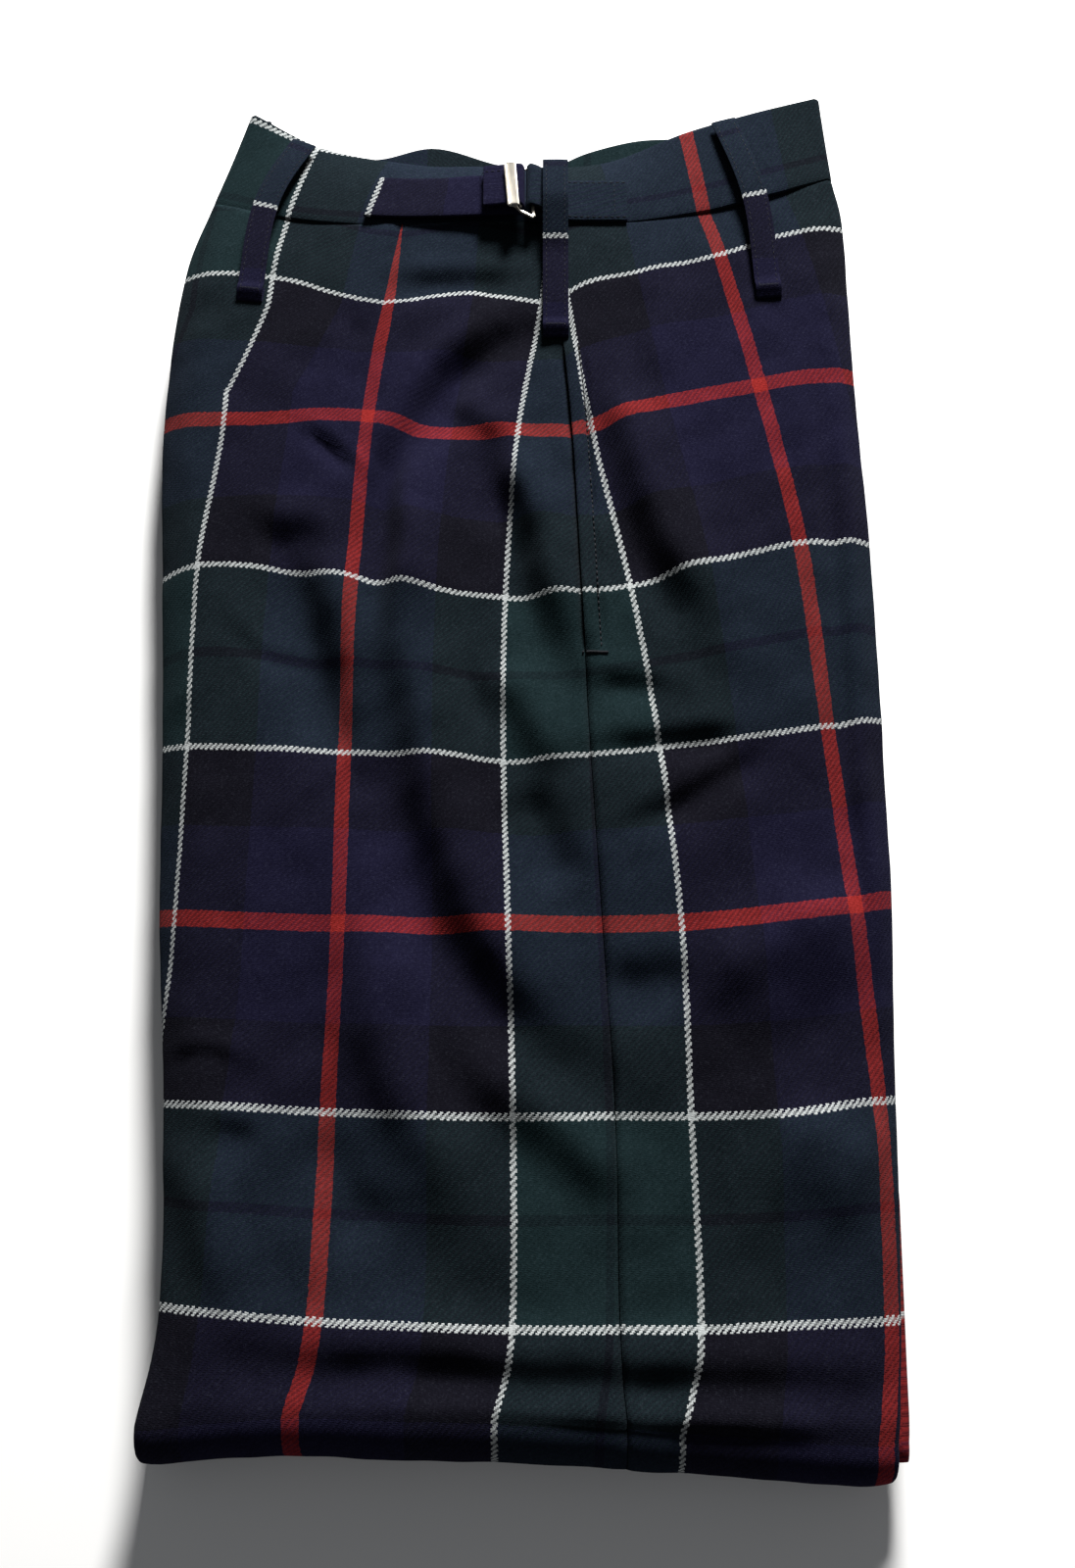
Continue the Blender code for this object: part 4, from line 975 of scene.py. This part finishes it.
def make_belt_loops():
    """Each loop bridges the dips of what it lies over, and its foot is turned under."""
    bed = Bed(*LAID_FIRST, "adjuster_tab_cloth", "adjuster_strap_cloth")
    for loop in BELT_LOOPS:
        bends = np.array([loop.top, loop.middle, loop.foot], float)
        run = lengths_along(bends)
        share = np.linspace(0, 1, LOOP_STEPS + 1)
        line = smooth_through(run, bends, share * run[-1])
        ways = np.gradient(line, axis=0)
        ways /= np.hypot(*ways.T)[:, None]
        besides = np.column_stack([-ways[:, 1], ways[:, 0], np.zeros(len(ways))])
        heights = []
        for (x, y), beside in zip(line, besides):
            offs = np.linspace(-0.5, 0.5, 5) * LOOP_WIDTH
            heights.append(max(bed.height(x + beside[0] * off, y + beside[1] * off) for off in offs))
        heights = smooth_run(widest(np.array(heights), LOOP_HELD_UP), LOOP_SMOOTHED)
        turned_under = np.clip((share * run[-1] - run[-1] + LOOP_FOOT) / LOOP_TURN_OVER, 0, 1)
        heights += GAP + LOOP_CLOTH * (1 + turned_under)
        heights += LOOP_LIFT * np.sin(math.pi * share**LOOP_LIFT_POWER)
        heights -= LOOP_DIP * np.clip(1 - (1 - share) * run[-1] / LOOP_FOOT, 0, 1) ** 2
        path = [np.array([x, y, z]) for (x, y), z in zip(line, heights)]
        cloth = [(loop.warp_u, LINE_SPACING + (part - loop.mark_at) * run[-1]) for part in share]
        made[loop.name + "_path"] = (path[:], besides)
        end, way = path[-1], np.array([*ways[-1], 0.0])
        for angle in np.linspace(0, math.pi, LOOP_TURN_STEPS + 1)[1:]:
            path.append(end + LOOP_CLOTH / 2 * (way * math.sin(angle) - UP * (1 - math.cos(angle))))
        path += [path[-1] - way * LOOP_FOOT * part for part in (0.5, 1.0)]
        cloth += [(loop.warp_u, cloth[-1][1] + step) for step in LOOP_TURN_V]
        sections = ribbon(path, cloth, LOOP_WIDTH / 2, [*besides, *[besides[-1]] * len(LOOP_TURN_V)])
        sheet(loop.name + "_cloth", loop.name, sections, LOOP_CLOTH / 2, rounded=LOOP_ROUNDED)


def widest(values, width):
    """A running maximum, the ends held."""
    padded = np.pad(values, width // 2, mode="edge")
    return np.max([padded[i:i + len(values)] for i in range(width)], axis=0)


def smooth_run(values, width):
    """A running mean, the ends held."""
    padded = np.pad(values, width // 2, mode="edge")
    return np.convolve(padded, np.ones(width) / width, mode="valid")


def strap_middle(x):
    """The y of the strap's middle at a place along it, and how far along that is."""
    share = np.clip((x - STRAP_SEWN_X) / (STRAP_BEND_X - STRAP_SEWN_X), 0, 1)
    return STRAP_Y[0] + (STRAP_Y[1] - STRAP_Y[0]) * share, share


def strap_slope(bed, x):
    """Its slope across: the waistband's where it is sewn, and less where the slide lifts it."""
    y, share = strap_middle(x)
    step = STRAP_WIDTH / 4
    return (1 - STRAP_LIFTS_FLAT * share) * (bed.height(x, y + step) - bed.height(x, y - step)) / (2 * step)


def strap_bed(bed, x):
    """The height that the straight strap rests at, above the rounded waistband."""
    middle, share = strap_middle(x)
    slope = strap_slope(bed, x)
    touch = max(bed.height(x, middle + s) - slope * s for s in np.linspace(-0.5, 0.5, 7) * STRAP_WIDTH)
    held_up = STRAP_ROOM + STRAP_BOW * min(1.0, share * STRAP_BOW_SHARE) ** STRAP_BOW_POWER
    return touch + GAP + held_up * (1 - come_down(x, BOW_ENDS))


def come_down(x, span):
    """0 at the slide and 1 where the tab has come down."""
    return soft_step((x - span[0]) / (span[1] - span[0]))


def tab_height(x):
    """The tab's upper layer above its under layer."""
    return 2 * BEND + (STRAP_CLOTH - 2 * BEND) * come_down(x, TAB_COMES_DOWN)


def folded_strip(bed, x_from, x_bend, x_to, height, cloth_at):
    """Sections of a strip that turns round a bar: under layer, bend, and the layer that shows."""
    way = 1 if x_bend > x_from else -1
    centre = x_bend - way * BEND
    runs = [(x, x, 0.0) for x in np.linspace(x_from, centre, STRIP_UNDER)]
    runs += [(centre + way * BEND * math.sin(a), centre, BEND * (1 - math.cos(a)))
             for a in np.linspace(0, math.pi, STRIP_ROUND)[1:]]
    runs += [(x, x, height(x)) for x in np.linspace(centre, x_to, STRIP_OVER)[1:]]
    xs = sorted({round(bed_x, 3) for _, bed_x, _ in runs})
    levels = smooth_run(np.array([strap_bed(bed, x) for x in xs]), 5)
    slopes = smooth_run(np.array([strap_slope(bed, x) for x in xs]), 5)
    path, tips, cloth = [], [], []
    travelled = 0.0
    for x, bed_x, lift in runs:
        slope = np.interp(bed_x, xs, slopes)
        middle, share = strap_middle(bed_x)
        skewed = STRAP_SKEW * share * (lift / BEND - 1)
        point = np.array([x, middle + skewed, np.interp(bed_x, xs, levels) + lift])
        travelled += np.linalg.norm(point - path[-1]) if path else 0.0
        path.append(point)
        tips.append(np.array([0.0, -way, -way * slope]))
        cloth.append(cloth_at(travelled))
    return path, tips, cloth


def strip_cloth(strip, name, aslant=0.0):
    """A strip along its path. Its first end is cut aslant by so much, which fades along it."""
    sections = []
    offs = np.linspace(-1, 1, STRIP_COLUMNS)
    for number, (point, tip, (along, beside)) in enumerate(zip(*strip)):
        lean = np.array([aslant * max(0.0, 1 - number / ASLANT_STEPS), 0, 0])
        across = tip * STRAP_WIDTH / 2 + lean
        points = [point + across * off - UP * STRIP_CROWN * off**6 for off in offs]
        places = [(along, beside + off * STRAP_WIDTH / 2) for off in offs]
        sections.append((np.array(points), np.array(places)))
    sheet(name + "_cloth", name, sections, STRAP_CLOTH, rounded=STRIP_ROUNDED)
    made[name + "_path"] = strip[:2]


def make_adjuster():
    """The strap and the tab, each turned round its bar of the slide."""
    bed = Bed(*LAID_FIRST)
    strap = folded_strip(bed, STRAP_SEWN_X, STRAP_BEND_X, STRAP_TAIL_X, lambda x: 2 * BEND,
                         lambda s: (STRAP_V + min(s, STRAP_V_SHOWN), STRIP_WARP_U))
    strip_cloth(strap, "adjuster_strap", STRAP_ASLANT)
    tab = folded_strip(bed, TAB_INNER_X, TAB_BEND_X, TAB_SEWN_X, tab_height,
                       lambda s: (TAB_V - s * TAB_V_SHARE, STRIP_WARP_U))
    strip_cloth(tab, "adjuster_tab")


def deselect():
    if bpy.context.mode != "OBJECT":
        bpy.ops.object.mode_set(mode="OBJECT")
    bpy.ops.object.select_all(action="DESELECT")


def round_bar(name, start, end, radius, material, wide=1.0, taper=1.0):
    """A drawn bar with rounded ends between two points, wider than thick or wider at its end if asked."""
    deselect()
    start, end = Vector(laid([start])[0]), Vector(laid([end])[0])
    run = end - start
    bpy.ops.mesh.primitive_cylinder_add(vertices=24, radius=radius * MM, depth=run.length)
    bar = bpy.context.object
    bar.name = bar.data.name = name
    bpy.ops.object.mode_set(mode="EDIT")
    bpy.ops.mesh.select_all(action="DESELECT")
    bpy.ops.object.mode_set(mode="OBJECT")
    for edge in bar.data.edges:
        heights = [bar.data.vertices[v].co.z for v in edge.vertices]
        edge.select = abs(heights[0] - heights[1]) < 1e-9
    bpy.ops.object.mode_set(mode="EDIT")
    bpy.ops.mesh.select_mode(type="EDGE")
    bpy.ops.mesh.bevel(offset=radius * MM * BAR_ROUNDED, segments=5)
    bpy.ops.object.mode_set(mode="OBJECT")
    for vertex in bar.data.vertices:
        vertex.select = vertex.co.z > 0
    bpy.ops.object.mode_set(mode="EDIT")
    bpy.ops.mesh.select_mode(type="VERT")
    bpy.ops.transform.resize(value=(1.0, taper, 1.0))
    bpy.ops.object.mode_set(mode="OBJECT")
    bar.scale = (1.0, wide, 1.0)
    bpy.ops.object.transform_apply(location=False, rotation=False, scale=True)
    bar.rotation_mode = "QUATERNION"
    bar.rotation_quaternion = run.to_track_quat("Z", "X")
    bar.location = (start + end) / 2
    bpy.ops.object.transform_apply(location=True, rotation=True, scale=False)
    bpy.ops.object.shade_smooth()
    bar.data.materials.append(material)
    return bar


def make_buckle():
    """A slide: a broad bar over the strap's end, a wire frame, and a thin bar inside the bends."""
    settings = cloth_settings()
    metal = plated_metal("satin_nickel", tuple(settings.metal), settings.metal_roughness)
    path, tips = made["adjuster_strap_path"]
    bend = max(range(len(path)), key=lambda i: path[i][0])
    y, level, slope = strap_middle(BAR_X)[0], path[bend][2], tips[bend][2] / tips[bend][1]

    def at(x, off, up):
        return (x - off * SLIDE_TILT, y + off, level + up + slope * off)

    front = round_bar("slide_front_bar", at(SLIDE_FRONT_X, FRONT_BAR_ENDS[0], SLIDE_RAISED),
                      at(SLIDE_FRONT_X, FRONT_BAR_ENDS[1], SLIDE_RAISED + FRONT_BAR_RISE), FRONT_BAR, metal,
                      FRONT_BAR_WIDE, FRONT_BAR_TAPER)
    pieces = [front]
    far = {end: at(SLIDE_FAR_X, SLIDE_FAR_ENDS[end], SLIDE_FAR_Z) for end in (-1, 1)}
    for end in (-1, 1):
        turns = (at(SLIDE_FRONT_X + WIRE_STARTS_IN, end * SLIDE_HALF, SLIDE_RAISED - WIRE_STARTS_IN),
                 at(SLIDE_TURN_X, end * SLIDE_HALF, WIRE_TURNS_Z), far[end])
        for number, (start, stop) in enumerate(zip(turns, turns[1:])):
            pieces.append(round_bar(f"slide_side_{end + 2}_{number}", start, stop, WIRE, metal))
    pieces.append(round_bar("slide_far_bar", far[1], far[-1], WIRE, metal))
    deselect()
    for piece in pieces:
        piece.select_set(True)
    bpy.context.view_layer.objects.active = front
    bpy.ops.object.join()
    front.name = front.data.name = "slide_frame"
    settle(front, "buckle_frame")
    bar_half = SLIDE_HALF - INNER_BAR_SHORT
    inner_ends = [at(BAR_X, off, 0.0) for off in (bar_half, -bar_half)]
    settle(round_bar("slide_inner_bar", *inner_ends, INNER_BAR, metal), "buckle_bar")


def stitches(name, runs, thread, thick):
    """Thread that shows on the cloth: each run is (start, end), one six-sided bar with thin ends."""
    points, faces = [], []
    for start, end in runs:
        start, end = np.array(start, float), np.array(end, float)
        along = (end - start) / np.linalg.norm(end - start)
        side = np.cross(UP, along)
        side /= np.linalg.norm(side)
        rise = np.cross(along, side)
        base = len(points)
        for share, fat, lift in STITCH_RINGS:
            centre = start + (end - start) * share + rise * lift * thick
            for k in range(STITCH_SIDES):
                a = k * 2 * math.pi / STITCH_SIDES
                points.append(centre + thick / 2 * fat * (side * math.cos(a) + rise * math.sin(a)))
        last = len(points) - STITCH_SIDES
        for ring in range(base, last, STITCH_SIDES):
            for k in range(STITCH_SIDES):
                n = (k + 1) % STITCH_SIDES
                faces.append((ring + k, ring + STITCH_SIDES + k, ring + STITCH_SIDES + n, ring + n))
        faces += [tuple(range(base, base + STITCH_SIDES)), tuple(range(last, len(points)))[::-1]]
    piece = new_object(name, np.array(points), faces, thread)
    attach(piece, "root")
    made[name] = piece


def run_stitches(points, thread):
    """Stitches one after another along a line of points."""
    points = np.array(points, float)
    run = lengths_along(points)
    return [[[np.interp(s, run, points[:, k]) for k in range(3)] for s in (start, start + thread.long)]
            for start in np.arange(thread.pitch / 2, run[-1] - thread.long, thread.pitch)]


def on_cloth(bed, places, rise=0.05):
    """The places set just above the cloth."""
    return [np.array([x, y, bed.height(x, y) + rise]) for x, y in places]


def bar_tack(bed, centre, across, length, width=TACK_WIDTH):
    """A dense bar of zigzag stitches that holds an end."""
    centre, across = np.array(centre, float), np.array(across, float)
    beside = np.array([-across[1], across[0]])
    found = []
    count = int(length / TACK_SPACING)
    for k in range(count):
        a = centre + across * (k / (count - 1) - 0.5) * length
        lean = across * TACK_LEAN
        ends = [a - beside * width / 2 - lean, a + beside * width / 2 + lean]
        found.append(on_cloth(bed, ends, TACK_RISE))
    return found


def make_stitching():
    """The seams and bar tacks of the pocket, the loops, the strap and the tab."""
    thread = thread_material("sewing_thread", tuple(cloth_settings().thread_dye))
    bed = Bed("right_front", "right_back")
    seam = row_marks(FRONT_ROWS, LINE_SPACING)[0][:, 0, :2]
    inside = (seam[:, 1] < POCKET_TOP_Y - 1) & (seam[:, 1] > POCKET_FOOT_Y + 1)
    # The pocket's line is real topstitching, drawn thick and near-continuous as painted shade along its
    # groove.
    runs = run_stitches(on_cloth(bed, seam[inside] + np.array([POCKET_STITCH_IN, 0.0])), POCKET_THREAD_AND_SHADE)
    foot_x = np.interp(-POCKET_FOOT_Y, -seam[:, 1], seam[:, 0]) + POCKET_TACK_IN
    runs += bar_tack(bed, (foot_x, POCKET_FOOT_Y), (1.0, 0.0), POCKET_TACK_LENGTH)
    stitches("pocket_stitching", runs, thread, POCKET_THREAD_AND_SHADE.thick)
    for loop in BELT_LOOPS:
        path, besides = made[loop.name + "_path"]
        own = Bed(loop.name + "_cloth")
        runs = []
        for side in (-LOOP_STITCHES_AT, LOOP_STITCHES_AT):
            edge = [(point + beside * side * LOOP_WIDTH / 2)[:2] for point, beside in zip(path, besides)]
            runs += run_stitches(on_cloth(own, edge[1:-1], rise=0.02), EDGE_THREAD)
        along = (path[-1] - path[-4])[:2]
        foot = path[-1][:2] - along / np.linalg.norm(along) * LOOP_TACK_IN
        runs += bar_tack(own, foot, besides[-1][:2], LOOP_WIDTH - LOOP_TACK_SHORT, LOOP_TACK_WIDTH)
        stitches(loop.name + "_stitching", runs, thread, EDGE_THREAD.thick)
    for name, shown, across_x in (("strap", slice(STRIP_UNDER - 2), STRAP_SEAM_X),
                                  ("tab", slice(STRIP_UNDER + STRIP_ROUND + 1, None), TAB_SEAM_X)):
        path, own = made[f"adjuster_{name}_path"][0][shown], Bed(f"adjuster_{name}_cloth")
        lines = [[(p[0], p[1] + side * STRAP_WIDTH / 2) for p in path]
                 for side in (-STRIP_STITCHES_AT, STRIP_STITCHES_AT)]
        offs = np.linspace(-SEAM_ACROSS, SEAM_ACROSS, SEAM_ACROSS_POINTS) * STRAP_WIDTH / 2
        lines.append([(across_x, strap_middle(across_x)[0] + off) for off in offs])
        runs = [run for line in lines for run in run_stitches(on_cloth(own, line, rise=0.04), EDGE_THREAD)]
        stitches(name + "_stitching", runs, thread, EDGE_THREAD.thick)


def area_light(name, at, size, power, tint):
    """A round light that points at the garment."""
    lamp = bpy.data.lights.new(name, "AREA")
    lamp.shape = "DISK"
    lamp.size = size
    lamp.energy = power
    lamp.color = tint
    holder = bpy.data.objects.new(name, lamp)
    holder.location = at
    holder.rotation_euler = (Vector(LIT_AT) - Vector(at)).to_track_quat("-Z", "Y").to_euler()
    bpy.context.scene.collection.objects.link(holder)


def make_stage():
    """The floor, the lights and the photograph's camera."""
    settings = bpy.context.scene.trews_stage
    deselect()
    bpy.ops.mesh.primitive_plane_add(size=settings.floor_size, location=(0, 0, FLOOR_Z))
    floor = bpy.context.object
    floor.name = floor.data.name = "floor"
    bpy.ops.object.transform_apply(location=True)
    floor.data.materials.append(floor_paper("pale_paper", tuple(settings.floor_tone)))
    area_light("window", WINDOW_AT, WINDOW_SIZE, settings.window_power, WINDOW_TINT)
    area_light("fill", FILL_AT, FILL_SIZE, settings.fill_power, FILL_TINT)
    bpy.context.scene.view_settings.view_transform = "Standard"
    world = bpy.data.worlds.new("soft_room")
    world.use_nodes = True
    background = world.node_tree.nodes["Background"]
    background.inputs["Color"].default_value = ROOM_TINT
    background.inputs["Strength"].default_value = settings.room_light
    bpy.context.scene.world = world
    camera = bpy.data.cameras.new("photo_view")
    camera.sensor_width = SENSOR
    camera.lens = SENSOR * FOCAL_IN_HEIGHTS
    holder = bpy.data.objects.new("photo_view", camera)
    holder.location = laid([CAMERA_AT])[0]
    holder.rotation_euler = (math.radians(CAMERA_TILT), 0.0, 0.0)
    bpy.context.scene.collection.objects.link(holder)
    bpy.context.scene.camera = holder


def dye(name, description, default):
    return bpy.props.FloatVectorProperty(name=name, description=description, subtype="COLOR", size=3,
                                         min=0.0, max=1.0, default=default)


def width(name, description, default):
    return bpy.props.FloatProperty(name=name, description=description, unit="LENGTH", min=0.0,
                                   default=default)


def strength(name, description, default):
    return bpy.props.FloatProperty(name=name, description=description, min=0.0, default=default)


def share_of(name, description, default):
    return bpy.props.FloatProperty(name=name, description=description, subtype="FACTOR", min=0.0, max=2.0,
                                   default=default)


class TrewsCloth(bpy.types.PropertyGroup):
    """Dyes, thread count and nap of the cloth."""

    blue: dye("Blue", "Ground between the red and the black", (0.0064, 0.0060, 0.0160))
    black: dye("Black", "Ground beside the white lines", (0.0045, 0.0043, 0.0070))
    green: dye("Green", "Ground between two white lines", (0.0064, 0.0130, 0.0146))
    white: dye("White", "Fine light line", (0.36, 0.38, 0.38))
    red: dye("Red", "Broader warm line", (0.180, 0.0142, 0.0130))
    fine_dye: dye("Fine line", "Dark line inside the green", (0.0042, 0.0066, 0.0084))
    fibre: dye("Stray fibre", "Pale fibre that stands out of the nap", (0.03, 0.034, 0.042))
    white_line: width("White line", "Width of a white line", 0.0020)
    red_warp: width("Red line along", "Width of a red line that runs down the leg", 0.0062)
    red_weft: width("Red line across", "Width of a red line that runs across the leg", 0.0066)
    fine_line: width("Fine dark line", "Width of the dark line inside the green", 0.0036)
    blue_width: width("Blue half width", "From the middle of a red line to the end of the blue", 0.041)
    thread: width("Thread", "Spacing of the threads", 0.00065)
    wander: width("Wander", "How far the threads stray from their straight lines", 0.0012)
    nap: share_of("Nap", "Soft bloom of the brushed wool", 0.012)
    blend: share_of("Thread blend", "How far the crossing threads mix in the nap", 0.36)
    weave_relief: share_of("Weave relief", "How strongly the twill's ribs show", 0.55)
    mottling: share_of("Mottling", "Unevenness of the dye over a few millimetres", 0.42)
    heather: share_of("Heather", "Difference from thread to thread", 1.5)
    stray_fibre: share_of("Stray fibres", "How much the pale fibres show", 0.2)
    metal: dye("Plate", "Colour of the buckle's plate", (0.93, 0.88, 0.79))
    metal_roughness: share_of("Plate roughness", "How satin the plate is", 0.42)
    thread_dye: dye("Thread dye", "Colour of the sewing thread", (0.003, 0.0034, 0.0052))


class TrewsStage(bpy.types.PropertyGroup):
    """The floor and the light."""

    floor_size: width("Floor", "Side of the floor", 6.0)
    floor_tone: dye("Floor tone", "Colour of the floor", (0.82, 0.82, 0.82))
    window_power: strength("Window", "Power of the window light", 160.0)
    fill_power: strength("Fill", "Power of the fill light", 0.4)
    room_light: strength("Room", "Strength of the light all round", 0.14)


class PanelsOperator(bpy.types.Operator):
    """Lay the right back and right front over the solids"""

    bl_idname = "trews.panels"
    bl_label = "Right back and front"

    def execute(self, context):
        make_panels()
        return {"FINISHED"}


class WaistbandOperator(bpy.types.Operator):
    """Set on the waistband's right and left halves"""

    bl_idname = "trews.waistband"
    bl_label = "Waistband"

    def execute(self, context):
        make_waistband()
        return {"FINISHED"}


class HiddenLayersOperator(bpy.types.Operator):
    """Fill in the left leg and the hidden layers"""

    bl_idname = "trews.hidden_layers"
    bl_label = "Hidden layers"

    def execute(self, context):
        make_inner_layers()
        return {"FINISHED"}


class AdjusterOperator(bpy.types.Operator):
    """Lay the adjuster's strap and tab, and the slide that joins them"""

    bl_idname = "trews.adjuster"
    bl_label = "Side adjuster"

    def execute(self, context):
        make_adjuster()
        make_buckle()
        return {"FINISHED"}


class BeltLoopsOperator(bpy.types.Operator):
    """Lay the three belt loops"""

    bl_idname = "trews.belt_loops"
    bl_label = "Belt loops"

    def execute(self, context):
        make_belt_loops()
        return {"FINISHED"}


class StitchingOperator(bpy.types.Operator):
    """Sew the pocket, loops, strap and tab"""

    bl_idname = "trews.stitching"
    bl_label = "Stitching"

    def execute(self, context):
        make_stitching()
        return {"FINISHED"}


class StageOperator(bpy.types.Operator):
    """Set the floor, the lights and the camera"""

    bl_idname = "trews.stage"
    bl_label = "Stage"

    def execute(self, context):
        make_stage()
        return {"FINISHED"}


OPERATORS = (PanelsOperator, WaistbandOperator, HiddenLayersOperator, AdjusterOperator, BeltLoopsOperator,
             StitchingOperator, StageOperator)


class TrewsPanel(bpy.types.Panel):
    """Lists the pieces and the settings"""

    bl_idname = "VIEW3D_PT_trews"
    bl_label = "Trews"
    bl_space_type = "VIEW_3D"
    bl_region_type = "UI"
    bl_category = "Trews"

    def draw(self, context):
        column = self.layout.column()
        for operator in OPERATORS:
            column.operator(operator.bl_idname)
        for group in (context.scene.trews_cloth, context.scene.trews_stage):
            for name in group.__annotations__:
                column.prop(group, name)


CLASSES = (TrewsCloth, TrewsStage, *OPERATORS, TrewsPanel)


def register():
    for cls in CLASSES:
        bpy.utils.register_class(cls)
    bpy.types.Scene.trews_cloth = bpy.props.PointerProperty(type=TrewsCloth)
    bpy.types.Scene.trews_stage = bpy.props.PointerProperty(type=TrewsStage)


def unregister():
    del bpy.types.Scene.trews_stage
    del bpy.types.Scene.trews_cloth
    for cls in reversed(CLASSES):
        bpy.utils.unregister_class(cls)


def main():
    register()
    bpy.ops.trews.panels()
    bpy.ops.trews.waistband()
    bpy.ops.trews.hidden_layers()
    bpy.ops.trews.adjuster()
    bpy.ops.trews.belt_loops()
    bpy.ops.trews.stitching()
    bpy.ops.trews.stage()


if __name__ == "__main__":
    main()
